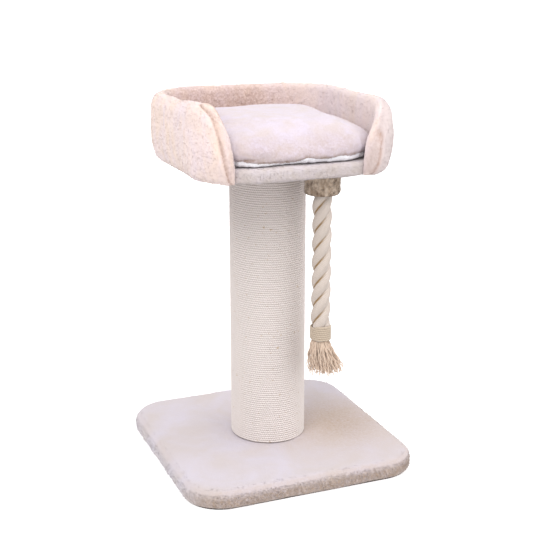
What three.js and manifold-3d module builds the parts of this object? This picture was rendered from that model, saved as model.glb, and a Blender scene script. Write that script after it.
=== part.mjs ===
// A scratching post with a bed: a plush-covered base plate, a post wound with sisal, and on top
// a board with a padded wall round it and a loose cushion. A play rope hangs under the board.
// Millimetres, +Z up. The origin is on the floor under the middle of the base, and the open
// front of the bed faces -Y.

import * as THREE from 'three';
import { mergeVertices } from 'three/addons/utils/BufferGeometryUtils.js';
import Module from 'manifold-3d';

const wasm = await Module();
wasm.setup();

// ---------------------------------------------------------------- driving dimensions

const clearance = 0.3; // between pieces that lie against each other
const plushThickness = 4; // covers of the base and of the bed board
const hemWidth = 30; // plush turned in under each board

const baseWidth = 500;
const baseDepth = 500;
const baseCornerRadius = 80;
const baseBoardThickness = 29;
const baseEdgeRound = 17; // soft top edge of the base
const feltThickness = 2;
const feltInset = 5;

const tubeDiameter = 150;
const tubeWall = 5;
const postLength = 592;
const plugThickness = 30;
const sisalThickness = 4.7; // of the wound layer
const sisalLoops = 23; // full heights of a turn on the post
const sisalTurnGap = 0.6;

const boltDiameter = 8;
const boltHeadDiameter = 16;
const boltHeadHeight = 5;
const boltCircleRadius = 42;
const boltCount = 3;
const boltPlay = 1; // a clear hole is this much wider than the bolt
const washerDiameter = 20;
const washerThickness = 1.6;
const counterboreDepth = 10;
const counterborePlay = 3; // the counterbore is this much wider than the washer
const insertDiameter = 12;
const insertLength = 18;
const boltEngagement = 15; // bolt length inside its insert

const bedWidth = 358; // over the covered board
const bedFront = -197; // y of the board's front face
const bedBack = 185; // y of the board's back edge
const bedCornerRadius = 87;
const bedBoardThickness = 19;
const bedEdgeRound = 9;

const wallHeight = 140; // from the underside of the board to the rim
const wallBulge = 35; // how far the padding stands out from the board's edge
const wallInnerRoll = 6; // how far the padding leans in over the board
const wallSkin = 3; // plush of the wall
const wallLeftEnd = 32.5; // degrees round the front left corner where the wall ends
const wallRightEnd = 21; // the same at the front right corner
const wallLeftRun = 50; // length over which the rim comes down at the left end
const wallRightRun = 102; // the same at the right end
const wallEndCurve = 1.75; // roundness of that slope, from 1 for a straight one to 2 for a quarter round
const wallEndHeight = 25; // height of the blunt tip of each end
const wallTipRun = 12; // length over which the tip is rounded in thickness
const wallTipFullness = 0.45; // share of the full thickness at the very tip
const wallLeanStart = 45; // height of the rim from which the wall leans in
const wallLeanFull = 75; // height of the rim from which it leans in fully
const panelThickness = 4;
const panelDrop = 18; // rim of the wall above the stiff strip
const wallScrewDiameter = 4;
const wallScrewLength = 34;
const wallScrewHeadDiameter = 8;

const cushionPlay = 1.5; // between the cushion and the leaning wall
const cushionHeight = 80; // from the board to the crown
const cushionDrawIn = 5; // how far each side is pulled in between its corners
const liningThickness = 1.6;
const liningRim = 9; // height to which the lining reaches up the side

const ropeReach = 144; // from the post's axis to the rope
const ropeBearing = -62.7; // degrees from +X towards which the rope hangs
const ropeDiameter = 40;
const ropeLength = 308; // from the top of the rope to the end of its whipping
const ropeNeckDiameter = 34; // where the whipping squeezes it
const whippingCord = 4.3;
const whippingGap = 0.5;
const whippingLoops = 6;
const tasselLength = 71;
const tasselDiameter = 75;
const capDiameter = 70; // over its plush
const capHeight = 44;
const capPlush = 2.7;
const capShellWall = 1.6;
const ringRadius = 6; // middle of the wire of hook, link and rope eye
const ringWire = 1.5; // radius of that wire
const ringPivotHeight = 20.6; // hook's lowest wire above the mouth of the cap
const hookShank = 2; // radius
const hookGrip = 16; // length of the hook's shank inside the board
const eyeGrip = 24; // length of the rope eye's shank inside the rope

// ---------------------------------------------------------------- heights that follow

const feltTop = feltThickness;
const baseHemBottom = feltTop + clearance;
const baseBoardBottom = baseHemBottom + plushThickness + clearance;
const baseBoardTop = baseBoardBottom + baseBoardThickness;
const baseTop = baseBoardTop + clearance + plushThickness;
const postBottom = baseTop + clearance;
const postTop = postBottom + postLength;
const bedBottom = postTop + clearance;
const bedBoardBottom = bedBottom + plushThickness + clearance;
const bedBoardTop = bedBoardBottom + bedBoardThickness;
const bedTop = bedBoardTop + clearance + plushThickness;
const cushionBottom = bedTop + clearance;

// ---------------------------------------------------------------- solids and meshes

// One welded mesh from any geometry, wound so that its faces point out.
function welded(geometry) {
  const bare = geometry.clone();
  bare.deleteAttribute('normal');
  bare.deleteAttribute('uv');
  const mesh = mergeVertices(bare, 1e-4);
  const points = mesh.getAttribute('position');
  const corners = Array.from(mesh.index.array);
  const [a, b, c] = [new THREE.Vector3(), new THREE.Vector3(), new THREE.Vector3()];
  const kept = [];
  let volume = 0;
  for (let i = 0; i < corners.length; i += 3) {
    const [p, q, r] = corners.slice(i, i + 3);
    if (p === q || q === r || r === p) continue;
    kept.push(p, q, r);
    a.fromBufferAttribute(points, p);
    b.fromBufferAttribute(points, q);
    c.fromBufferAttribute(points, r);
    volume += a.dot(b.cross(c));
  }
  if (volume < 0) kept.reverse();
  mesh.setIndex(kept);
  return mesh;
}

function toSolid(geometry) {
  const mesh = welded(geometry);
  return new wasm.Manifold(new wasm.Mesh({
    numProp: 3,
    vertProperties: new Float32Array(mesh.getAttribute('position').array),
    triVerts: new Uint32Array(mesh.index.array),
  }));
}

function toGeometry(solid) {
  const mesh = solid.getMesh();
  const geometry = new THREE.BufferGeometry();
  geometry.setAttribute('position', new THREE.BufferAttribute(mesh.vertProperties, 3));
  geometry.setIndex(new THREE.BufferAttribute(mesh.triVerts, 1));
  return geometry;
}

// The geometry with every tool taken out of it.
function cut(geometry, ...tools) {
  return toGeometry(tools.reduce((solid, tool) => solid.subtract(toSolid(tool)), toSolid(geometry)));
}

function joined(...geometries) {
  const [first, ...rest] = geometries.map(toSolid);
  return toGeometry(rest.reduce((solid, other) => solid.add(other), first));
}

// Rings of equally many points, joined in order, with a fan over the first and the last.
function loft(rings) {
  const count = rings[0].length;
  const positions = [];
  for (const ring of rings) for (const point of ring) positions.push(...point.toArray());
  const faces = [];
  for (let level = 0; level + 1 < rings.length; level += 1) {
    for (let i = 0; i < count; i += 1) {
      const here = level * count + i;
      const next = level * count + ((i + 1) % count);
      faces.push(here, next, next + count, here, next + count, here + count);
    }
  }
  const fan = (ring, offset, turned) => {
    const centre = new THREE.Vector3();
    for (const point of ring) centre.addScaledVector(point, 1 / count);
    const hub = positions.length / 3;
    positions.push(...centre.toArray());
    for (let i = 0; i < count; i += 1) {
      const [near, far] = [offset + i, offset + ((i + 1) % count)];
      faces.push(hub, ...(turned ? [far, near] : [near, far]));
    }
  };
  fan(rings[0], 0, true);
  fan(rings.at(-1), (rings.length - 1) * count, false);
  const geometry = new THREE.BufferGeometry();
  geometry.setAttribute('position', new THREE.Float32BufferAttribute(positions, 3));
  geometry.setIndex(faces);
  return geometry;
}

// Rings whose sections are not convex: the ends are closed by cutting the section into triangles.
function sweep(sections, place) {
  const count = sections[0].length;
  const positions = [];
  const faces = [];
  sections.forEach((section, station) => {
    for (const point of section) positions.push(...place(station, point).toArray());
  });
  for (let station = 0; station + 1 < sections.length; station += 1) {
    for (let i = 0; i < count; i += 1) {
      const here = station * count + i;
      const next = station * count + ((i + 1) % count);
      faces.push(here, next, next + count, here, next + count, here + count);
    }
  }
  const last = (sections.length - 1) * count;
  for (const [p, q, r] of THREE.ShapeUtils.triangulateShape(sections[0], [])) {
    faces.push(p, r, q);
  }
  for (const [p, q, r] of THREE.ShapeUtils.triangulateShape(sections.at(-1), [])) {
    faces.push(last + p, last + q, last + r);
  }
  const geometry = new THREE.BufferGeometry();
  geometry.setAttribute('position', new THREE.Float32BufferAttribute(positions, 3));
  geometry.setIndex(faces);
  return geometry;
}

// A profile of [radius, z] pairs turned about the Z axis.
function turned(profile, sides) {
  const points = profile.map(([radius, z]) => new THREE.Vector2(radius, z));
  return new THREE.LatheGeometry(points, sides).rotateX(Math.PI / 2);
}

function disc(radius, bottom, top, sides = 24) {
  return turned([[0, bottom], [radius, bottom], [radius, top], [0, top]], sides);
}

function sleeve(inner, outer, bottom, top, sides) {
  return turned([[inner, bottom], [outer, bottom], [outer, top], [inner, top], [inner, bottom]], sides);
}

const group = new THREE.Group();

function add(name, geometry, colour, roughness, metalness = 0) {
  const mesh = new THREE.Mesh(
    welded(geometry),
    new THREE.MeshStandardMaterial({ color: colour, roughness, metalness }),
  );
  mesh.name = name;
  group.add(mesh);
  return mesh;
}

// ---------------------------------------------------------------- outlines in plan

// Points with outward normals round a rounded rectangle, anticlockwise from the right side.
function roundedOutline(width, front, back, radius, steps) {
  const reach = width / 2 - radius;
  const corners = [
    [reach, back - radius, 0],
    [-reach, back - radius, 90],
    [-reach, front + radius, 180],
    [reach, front + radius, 270],
  ];
  return corners.flatMap(([x, y, start]) => Array.from({ length: steps + 1 }, (_, i) => {
    const angle = THREE.MathUtils.degToRad(start + (90 * i) / steps);
    const normal = new THREE.Vector2(Math.cos(angle), Math.sin(angle));
    return { x: x + radius * normal.x, y: y + radius * normal.y, normal };
  }));
}

function ringOf(outline, inset, z) {
  return outline.map(({ x, y, normal }) => new THREE.Vector3(x - inset * normal.x, y - inset * normal.y, z));
}

// Insets and heights of a rounded upper edge, from the side up to the top.
function edgeRounding(inset, top, radius) {
  return [0, 30, 60, 90].map((degrees) => {
    const angle = THREE.MathUtils.degToRad(degrees);
    return [inset + radius * (1 - Math.cos(angle)), top - radius * (1 - Math.sin(angle))];
  });
}

// Stations of a board whose upper edge is rounded alongside its cover's.
function boardRings(outline, bottom, top, edgeRound) {
  const inset = plushThickness + clearance;
  const rings = [[inset, bottom], ...edgeRounding(inset, top, edgeRound - inset)];
  return rings.map(([ringInset, z]) => ringOf(outline, ringInset, z));
}

// Stations of a plush cover, from the ceiling of its pocket, round the hem and up to its top.
function coverRings(outline, bottom, top, edgeRound) {
  const lower = plushThickness * 1.5; // height of the rounded lower edge
  const rings = [
    ...edgeRounding(plushThickness, top - plushThickness, edgeRound - plushThickness).reverse(),
    [plushThickness, bottom + plushThickness],
    [hemWidth, bottom + plushThickness],
    [hemWidth, bottom],
    [lower, bottom],
    [lower * 0.3, bottom + lower * 0.3],
    [0, bottom + lower],
    ...edgeRounding(0, top, edgeRound),
  ];
  return rings.map(([inset, z]) => ringOf(outline, inset, z));
}

const cornerSteps = 5;
const baseOutline = roundedOutline(baseWidth, -baseDepth / 2, baseDepth / 2, baseCornerRadius, cornerSteps);
const bedOutline = roundedOutline(bedWidth, bedFront, bedBack, bedCornerRadius, cornerSteps);

// ---------------------------------------------------------------- bolts, washers and inserts

const boltPlaces = Array.from({ length: boltCount }, (_, i) => {
  const angle = (2 * Math.PI * i) / boltCount + Math.PI / 2;
  return [boltCircleRadius * Math.cos(angle), boltCircleRadius * Math.sin(angle)];
});
const smallSides = 10;
const overcut = 2; // how far a cutting shape goes past the face it opens
const clearRadius = (boltDiameter + boltPlay) / 2;
const accessRadius = (washerDiameter + counterborePlay) / 2;

// A hole at each bolt, between two heights.
function boltHoles(radius, bottom, top) {
  return boltPlaces.map(([x, y]) => disc(radius, bottom, top, smallSides).translate(x, y, 0));
}

// One bolted joint: seat is the floor of the counterbore, and the bolt points from it towards
// the insert, whose near end lies at mouth. direction is +1 upwards and -1 downwards.
function boltedJoint(prefix, insertPrefix, seat, mouth, direction) {
  const washerNear = seat - direction * clearance;
  const headNear = washerNear - direction * (washerThickness + clearance);
  const headFar = headNear - direction * boltHeadHeight;
  const tip = mouth + direction * boltEngagement;
  boltPlaces.forEach(([x, y], i) => {
    const bolt = turned([
      [0, headFar],
      [boltHeadDiameter / 2, headFar],
      [boltHeadDiameter / 2, headNear],
      [boltDiameter / 2, headNear],
      [boltDiameter / 2, tip],
      [0, tip],
    ], smallSides);
    const washer = sleeve(
      clearRadius, washerDiameter / 2, washerNear, washerNear - direction * washerThickness, smallSides,
    );
    const insert = sleeve(
      clearRadius, insertDiameter / 2, mouth, mouth + direction * insertLength, smallSides,
    );
    add(`${prefix}_bolt_${i + 1}`, bolt, 0x8f9296, 0.4, 0.9).position.set(x, y, 0);
    add(`${prefix}_washer_${i + 1}`, washer, 0x9da0a3, 0.45, 0.9).position.set(x, y, 0);
    add(`${insertPrefix}_insert_${i + 1}`, insert, 0xa89a6c, 0.45, 0.9).position.set(x, y, 0);
  });
}

// ---------------------------------------------------------------- base

function makeBase() {
  const felt = loft([ringOf(baseOutline, feltInset, 0), ringOf(baseOutline, feltInset, feltTop)]);
  add('base_underlay', cut(felt, ...boltHoles(accessRadius, -1, feltTop + 1)), 0x3b3634, 0.95);

  const board = loft(boardRings(baseOutline, baseBoardBottom, baseBoardTop, baseEdgeRound));
  const seat = baseBoardBottom + counterboreDepth;
  add('base_board', cut(
    board,
    ...boltHoles(accessRadius, baseBoardBottom - 1, seat),
    ...boltHoles(clearRadius, seat - 1, baseBoardTop + 1),
  ), 0xc7a57d, 0.85);

  const cover = loft(coverRings(baseOutline, baseHemBottom, baseTop, baseEdgeRound));
  add('base_cover', cut(cover, ...boltHoles(clearRadius, baseBoardTop, baseTop + 1)), 0xe4dadf, 0.95);
  boltedJoint('base', 'lower', seat, postBottom + clearance, 1);
}

// ---------------------------------------------------------------- post

const tubeRadius = tubeDiameter / 2;
const sisalInner = tubeRadius + clearance;
const stepsPerTurn = 24;
const postSides = stepsPerTurn; // the strand's steps lie on the flats of the tube

function plug(bottom, mouth, direction) {
  const body = disc(tubeRadius - tubeWall - clearance, bottom, bottom + plugThickness, postSides);
  const pocket = mouth + direction * (insertLength + clearance);
  const start = mouth - direction * overcut;
  const radius = insertDiameter / 2 + clearance;
  return cut(
    body,
    ...boltHoles(radius, Math.min(start, pocket), Math.max(start, pocket)),
  );
}

// Rings of points wound about the Z axis. sectionAt gives the section, as [radius, z] pairs, at a
// number of turns. The first and last stretch run straight on along their tangents.
function woundRings(firstTurn, lastTurn, stepsPerTurn, straight, sectionAt) {
  const steps = Math.round((lastTurn - firstTurn) * stepsPerTurn);
  const ringAt = (turns, ahead) => {
    const angle = 2 * Math.PI * turns;
    const tangent = new THREE.Vector3(-Math.sin(angle), Math.cos(angle), 0).multiplyScalar(ahead);
    return sectionAt(turns).map(([radius, z]) => new THREE.Vector3(
      radius * Math.cos(angle), radius * Math.sin(angle), z,
    ).add(tangent));
  };
  const rings = [ringAt(firstTurn, -straight)];
  for (let i = 0; i <= steps; i += 1) {
    rings.push(ringAt(firstTurn + ((lastTurn - firstTurn) * i) / steps, 0));
  }
  rings.push(ringAt(lastTurn, straight));
  return rings;
}

// The least distance between the points of a ring and those one turn further on.
function leastTurnGap(rings, stepsPerTurn) {
  let least = Infinity;
  rings.forEach((ring, i) => {
    for (const other of rings.slice(i + stepsPerTurn - 1, i + stepsPerTurn + 2)) {
      for (const a of ring) for (const b of other) least = Math.min(least, a.distanceTo(b));
    }
  });
  return least;
}

// The wound layer as one flattened strand that climbs from base to bed.
function sisalRings() {
  const turnHeight = postLength / sisalLoops;
  const shortest = 4; // height at which the strand starts and ends
  const outer = sisalInner + sisalThickness;
  const chamfer = sisalThickness / 3;
  const sectionAt = (turns) => {
    const high = Math.min(postTop, postBottom + turnHeight * turns);
    const low = Math.max(postBottom, postBottom + turnHeight * (turns - 1) + sisalTurnGap);
    const side = Math.min(chamfer * 2, (high - low) / 3);
    return [
      [sisalInner, low],
      [outer - chamfer, low],
      [outer, low + side],
      [outer, high - side],
      [outer - chamfer, high],
      [sisalInner, high],
    ];
  };
  const first = Math.ceil((shortest / turnHeight) * stepsPerTurn) / stepsPerTurn;
  const spare = postLength - shortest - sisalTurnGap;
  const last = Math.floor((spare / turnHeight + 1) * stepsPerTurn) / stepsPerTurn;
  return woundRings(first, last, stepsPerTurn, sisalThickness, sectionAt);
}

function makePost() {
  const lowerMouth = postBottom + clearance;
  const upperMouth = postTop - clearance;
  add('post_lower_plug', plug(postBottom, lowerMouth, 1), 0xb98f63, 0.8);
  add('post_upper_plug', plug(postTop - plugThickness, upperMouth, -1), 0xb98f63, 0.8);
  add('post_tube', sleeve(tubeRadius - tubeWall, tubeRadius, postBottom, postTop, postSides), 0xa98a66, 0.9);
  const sisal = sisalRings();
  console.log(`sisal_winding: least gap between turns ${leastTurnGap(sisal, stepsPerTurn).toFixed(2)} mm`);
  add('sisal_winding', loft(sisal), 0xe0d8d3, 0.9);
}

// ---------------------------------------------------------------- bed board

const bearing = THREE.MathUtils.degToRad(ropeBearing);
const ropeX = ropeReach * Math.cos(bearing);
const ropeY = ropeReach * Math.sin(bearing);
const hookHoleRadius = hookShank + clearance;

function hookHole(bottom, top) {
  return disc(hookHoleRadius, bottom, top, smallSides).translate(ropeX, ropeY, 0);
}

// The wall's screws, as the straight side of the board and the share of its length.
const wallScrewPlaces = [['left', 0.2], ['left', 0.8], ['back', 0.5], ['right', 0.2], ['right', 0.8]];
const wallScrewZ = (bedBoardBottom + bedBoardTop) / 2;

function makeBedBoard() {
  const board = loft(boardRings(bedOutline, bedBoardBottom, bedBoardTop, bedEdgeRound));
  const seat = bedBoardTop - counterboreDepth;
  add('bed_board', cut(
    board,
    ...boltHoles(accessRadius, seat, bedBoardTop + 1),
    ...boltHoles(clearRadius, bedBoardBottom - 1, seat + 1),
    hookHole(bedBoardBottom - 1, bedBottom + hookGrip + clearance),
    ...wallScrewHoles(),
  ), 0xc7a57d, 0.85);

  const sheet = loft([
    ringOf(bedOutline, hemWidth + clearance, bedBottom),
    ringOf(bedOutline, hemWidth + clearance, bedBottom + plushThickness),
  ]);
  add('bed_underlay', cut(
    sheet,
    ...boltHoles(clearRadius, bedBottom - 1, bedBoardBottom),
    hookHole(bedBottom - 1, bedBoardBottom),
  ), 0xd8ccc9, 0.95);

  const cover = loft(coverRings(bedOutline, bedBottom, bedTop, bedEdgeRound));
  add('bed_cover', cut(
    cover,
    ...boltHoles(accessRadius, bedBoardTop, bedTop + 1),
    ...wallScrewHoles(),
  ), 0xd9cdca, 0.95);
  boltedJoint('bed', 'upper', seat, postTop - clearance, -1);
}

// ---------------------------------------------------------------- wall of the bed

// The straight and curved legs of the board's edge, from the middle of the front towards -X.
function edgeLegs() {
  const reach = bedWidth / 2 - bedCornerRadius;
  const side = bedBack - bedFront - 2 * bedCornerRadius;
  const arc = (bedCornerRadius * Math.PI) / 2;
  const front = bedFront + bedCornerRadius;
  const back = bedBack - bedCornerRadius;
  return [
    { length: reach, from: [0, bedFront], along: [-1, 0], normal: [0, -1] },
    { length: arc, centre: [-reach, front], start: 270 },
    { name: 'left', length: side, from: [-bedWidth / 2, front], along: [0, 1], normal: [-1, 0] },
    { length: arc, centre: [-reach, back], start: 180 },
    { name: 'back', length: 2 * reach, from: [-reach, bedBack], along: [1, 0], normal: [0, 1] },
    { length: arc, centre: [reach, back], start: 90 },
    { name: 'right', length: side, from: [bedWidth / 2, back], along: [0, -1], normal: [1, 0] },
    { length: arc, centre: [reach, front], start: 0 },
    { length: reach, from: [reach, bedFront], along: [-1, 0], normal: [0, -1] },
  ];
}

const legs = edgeLegs();
const wholeRun = legs.reduce((sum, leg) => sum + leg.length, 0);

// The point of the board's edge at a run, with its outward normal.
function edgeAt(run) {
  let rest = run;
  let index = 0;
  while (index + 1 < legs.length && rest > legs[index].length) {
    rest -= legs[index].length;
    index += 1;
  }
  const leg = legs[index];
  if (leg.centre) {
    const angle = THREE.MathUtils.degToRad(leg.start) - rest / bedCornerRadius;
    const normal = new THREE.Vector2(Math.cos(angle), Math.sin(angle));
    return {
      x: leg.centre[0] + bedCornerRadius * normal.x,
      y: leg.centre[1] + bedCornerRadius * normal.y,
      normal,
    };
  }
  return {
    x: leg.from[0] + rest * leg.along[0],
    y: leg.from[1] + rest * leg.along[1],
    normal: new THREE.Vector2(...leg.normal),
  };
}

const frontReach = bedWidth / 2 - bedCornerRadius;
const endRunAt = (degrees) => frontReach + bedCornerRadius * THREE.MathUtils.degToRad(degrees);
const wallStart = endRunAt(wallLeftEnd);
const wallStop = wholeRun - endRunAt(wallRightEnd);

// Runs of the wall's stations, from trim inside one end to the same at the other: close together at
// both ends, and at each break of the board's edge.
function wallRuns(trim) {
  const least = 2; // shortest stretch between a break and another station
  const breaks = [];
  let reached = 0;
  for (const leg of legs) {
    const parts = leg.centre ? cornerSteps : 1;
    for (let i = 0; i < parts; i += 1) breaks.push(reached + (leg.length * i) / parts);
    reached += leg.length;
  }
  const first = wallStart + trim;
  const last = wallStop - trim;
  const shares = [0.05, 0.13, 0.27, 0.47, 0.7, 1];
  const within = breaks.filter((run) => run > first + least && run < last - least);
  const nearEnds = [
    ...shares.map((share) => first + share * (wallLeftRun - trim)),
    ...shares.map((share) => last - share * (wallRightRun - trim)),
  ].filter((run) => within.every((other) => Math.abs(run - other) > least));
  return [first, ...within, ...nearEnds, last].sort((one, other) => one - other);
}

// Height of the rim over the board's underside, which comes down in a round slope at both ends.
function rimHeight(run) {
  const share = Math.min(1, (run - wallStart) / wallLeftRun, (wallStop - run) / wallRightRun);
  const slope = (1 - (1 - share) ** wallEndCurve) ** (1 / wallEndCurve);
  return wallEndHeight + (wallHeight - wallEndHeight) * slope;
}

const edgeStep = bedTop - bedBottom + clearance; // height at which the wall leans in over the board

// Outer section of the wall, as offsets from the board's edge and heights over its underside.
function wallSection(run) {
  const rim = rimHeight(run);
  const tip = Math.min(1, Math.min(run - wallStart, wallStop - run) / wallTipRun);
  const fullness = THREE.MathUtils.lerp(wallTipFullness, 1, Math.sqrt(1 - (1 - tip) ** 2));
  const lean = THREE.MathUtils.clamp((rim - wallLeanStart) / (wallLeanFull - wallLeanStart), 0, 1);
  const step = Math.min(edgeStep, rim * 0.63);
  const outer = [
    [0.3, 0], [0.58, 0.036], [0.77, 0.11], [0.94, 0.3], [1, 0.55],
    [0.94, 0.8], [0.88, 0.885], [0.67, 0.965], [0.39, 1], [0.12, 0.986],
  ].map(([share, height]) => [clearance + (wallBulge - clearance) * share * fullness, height * rim]);
  const inner = [[0.5, 0.914, 0.27], [1, 0.6, 0.18], [1, 0.4, 0.09]].map(([share, height, rise]) => [
    clearance - (wallInnerRoll + clearance) * share * lean,
    Math.max(height * rim, step + rise * rim),
  ]);
  const foot = [
    [clearance - wallInnerRoll * 0.7 * lean, step],
    [clearance, step - (1 - lean)],
    [clearance, 0],
  ];
  return [...outer, ...inner, ...foot].map(([offset, height]) => new THREE.Vector2(offset, height));
}

// The hollow of the wall's cover, open towards the board's edge below the board's top.
function hollowSection(run, play) {
  const rim = rimHeight(run);
  const out = wallBulge - wallSkin - play;
  const lean = wallInnerRoll - wallSkin - play;
  return [
    [out * 0.3, wallSkin + play],
    [out * 0.68, 0.12 * rim + play],
    [out * 0.95, 0.4 * rim],
    [out * 0.95, 0.75 * rim],
    [out * 0.66, 0.955 * rim - 2 - play],
    [wallBulge * 0.24, rim - wallSkin - 0.2 - play],
    [play, 0.9 * rim - play],
    [-lean, 0.6 * rim],
    [-lean, edgeStep + 2 * wallSkin + play],
  ].map(([offset, height]) => new THREE.Vector2(offset, height));
}

function coverHollow(run) {
  const lip = 2 * clearance;
  return [
    ...hollowSection(run, 0),
    new THREE.Vector2(lip, edgeStep + wallSkin),
    new THREE.Vector2(lip, edgeStep - clearance),
    new THREE.Vector2(-1, edgeStep - clearance),
    new THREE.Vector2(-1, wallSkin),
  ];
}

const panelInner = 2 * clearance;
const panelOuter = panelInner + panelThickness;

function paddingSection(run) {
  const slotTop = rimHeight(run) - panelDrop;
  return [
    ...hollowSection(run, clearance),
    new THREE.Vector2(panelInner - clearance, edgeStep + wallSkin + 3 * clearance),
    new THREE.Vector2(panelInner - clearance, slotTop),
    new THREE.Vector2(panelOuter + clearance, slotTop),
    new THREE.Vector2(panelOuter + clearance, wallSkin + clearance),
  ];
}

function panelSection(run) {
  const top = rimHeight(run) - panelDrop - clearance;
  const bottom = wallSkin + clearance;
  return [
    new THREE.Vector2(panelInner, bottom),
    new THREE.Vector2(panelOuter, bottom),
    new THREE.Vector2(panelOuter, top),
    new THREE.Vector2(panelInner, top),
  ];
}

// A section carried along the edge. With some play, both ends go on that much further, unchanged.
function alongWall(runs, sectionAt, play = 0) {
  const places = play > 0 ? [runs[0] - play, ...runs, runs.at(-1) + play] : runs;
  const sections = runs.map(sectionAt);
  if (play > 0) sections.unshift(sections[0]);
  if (play > 0) sections.push(sections.at(-1));
  return sweep(sections, (station, point) => {
    const { x, y, normal } = edgeAt(places[station]);
    return new THREE.Vector3(x + point.x * normal.x, y + point.x * normal.y, bedBottom + point.y);
  });
}

// A piece made along +Z is laid into the board's edge at a run, its +Z pointing outwards.
function laidOut(geometry, run) {
  const { x, y, normal } = edgeAt(run);
  const turn = new THREE.Quaternion().setFromUnitVectors(
    new THREE.Vector3(0, 0, 1), new THREE.Vector3(normal.x, normal.y, 0),
  );
  return geometry.applyQuaternion(turn).translate(x, y, wallScrewZ);
}

const screwRuns = wallScrewPlaces.map(([side, share]) => {
  const index = legs.findIndex((leg) => leg.name === side);
  return legs.slice(0, index).reduce((sum, leg) => sum + leg.length, legs[index].length * share);
});

function wallScrew(play) {
  const past = play > 0 ? overcut : 0;
  const face = panelOuter - clearance;
  const head = wallScrewHeadDiameter / 2 + play;
  const shank = wallScrewDiameter / 2 + play;
  const neck = face - (wallScrewHeadDiameter - wallScrewDiameter) / 2;
  const end = face - wallScrewLength - past;
  return turned([
    [0, end], [shank, end], [shank, neck], [head, neck + head - shank], [head, face + past], [0, face + past],
  ], 8);
}

function wallScrewHoles() {
  return screwRuns.map((run) => laidOut(wallScrew(clearance), run));
}

function makeWall() {
  const shape = alongWall(wallRuns(0), wallSection);
  const runs = wallRuns(wallTipRun);
  add('wall_cover', cut(shape, alongWall(runs, coverHollow, clearance)), 0xe6d8d4, 0.95);
  add('wall_padding', alongWall(runs, paddingSection), 0xf2ecd9, 0.9);
  const panel = alongWall(runs.slice(1, -1), panelSection);
  add('wall_panel', cut(panel, ...wallScrewHoles()), 0x8a6743, 0.8);
  screwRuns.forEach((run, i) => {
    add(`wall_screw_${i + 1}`, laidOut(wallScrew(0), run), 0x9c9a92, 0.4, 0.9);
  });
}

// ---------------------------------------------------------------- cushion

// Rings of the cushion: a share of the full outline at each height, drawn in along the sides.
function cushionRings(levels) {
  const corner = bedCornerRadius - wallInnerRoll - cushionPlay;
  const middle = (bedFront + bedBack) / 2;
  const reachX = bedWidth / 2 - bedCornerRadius;
  const reachY = (bedBack - bedFront) / 2 - bedCornerRadius;
  const parts = 4; // of each side and of each corner
  const outline = [];
  const centres = [[1, 1], [-1, 1], [-1, -1], [1, -1]].map(([sx, sy]) => (
    new THREE.Vector2(sx * reachX, middle + sy * reachY)
  ));
  const towards = (angle, reach) => new THREE.Vector2(Math.cos(angle), Math.sin(angle)).multiplyScalar(reach);
  centres.forEach((centre, quarter) => {
    for (let i = 0; i <= parts; i += 1) {
      outline.push(towards((Math.PI / 2) * (quarter + i / parts), corner).add(centre));
    }
    const next = centres[(quarter + 1) % centres.length];
    for (let i = 1; i < parts; i += 1) {
      const reach = corner - cushionDrawIn * Math.sin((Math.PI * i) / parts) ** 2;
      outline.push(towards((Math.PI / 2) * (quarter + 1), reach).add(centre.clone().lerp(next, i / parts)));
    }
  });
  return levels.map(([share, z]) => outline.map((point) => new THREE.Vector3(
    point.x * share, middle + (point.y - middle) * share, cushionBottom + z,
  )));
}

function makeCushion() {
  const floor = liningThickness;
  add('cushion_lining', loft(cushionRings([
    [0.92, floor], [0.945, liningRim * 0.45], [0.955, liningRim],
    [0.972, liningRim], [0.962, liningRim * 0.3], [0.93, 0],
  ])), 0xf4f2ee, 0.9);
  const body = cushionHeight - liningRim;
  const crown = [
    [0.985, 0.02], [1, 0.2], [1, 0.45], [0.975, 0.68], [0.915, 0.83], [0.8, 0.92], [0.6, 0.965], [0.32, 0.995],
  ].map(([share, height]) => [share, liningRim + clearance + body * height]);
  add('cushion_top', loft(cushionRings([
    [0.915, floor + clearance],
    [0.94, liningRim * 0.45 + clearance],
    [0.95, liningRim + clearance],
    ...crown,
  ])), 0xe9dde0, 0.95);
}

// ---------------------------------------------------------------- play rope

const capMouth = bedBottom - capHeight;
const hookPivot = capMouth + ringPivotHeight;
const ringStep = 2 * ringWire + clearance; // from one wire to the wire that rests on it
const linkPivot = hookPivot + ringStep - 2 * ringRadius;
const eyeMiddle = linkPivot + ringStep - ringRadius;
const ropeTop = eyeMiddle - ringRadius - ringWire - clearance;
const ropeEnd = ropeTop - ropeLength;
const whippingPitch = whippingCord + whippingGap;

// Everything on the rope is made on the Z axis, with +X pointing away from the post.
function hang(name, geometry, colour, roughness, metalness = 0) {
  const mesh = add(name, geometry, colour, roughness, metalness);
  mesh.position.set(ropeX, ropeY, 0);
  mesh.rotation.z = bearing;
}

// A wire ring about z, standing in the plane of Z and of the direction across the given axis.
function wireRing(z, facesAway) {
  const ring = new THREE.TorusGeometry(ringRadius, ringWire, 6, 16).rotateX(Math.PI / 2);
  if (facesAway) ring.rotateZ(Math.PI / 2);
  return ring.translate(0, 0, z);
}

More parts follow.
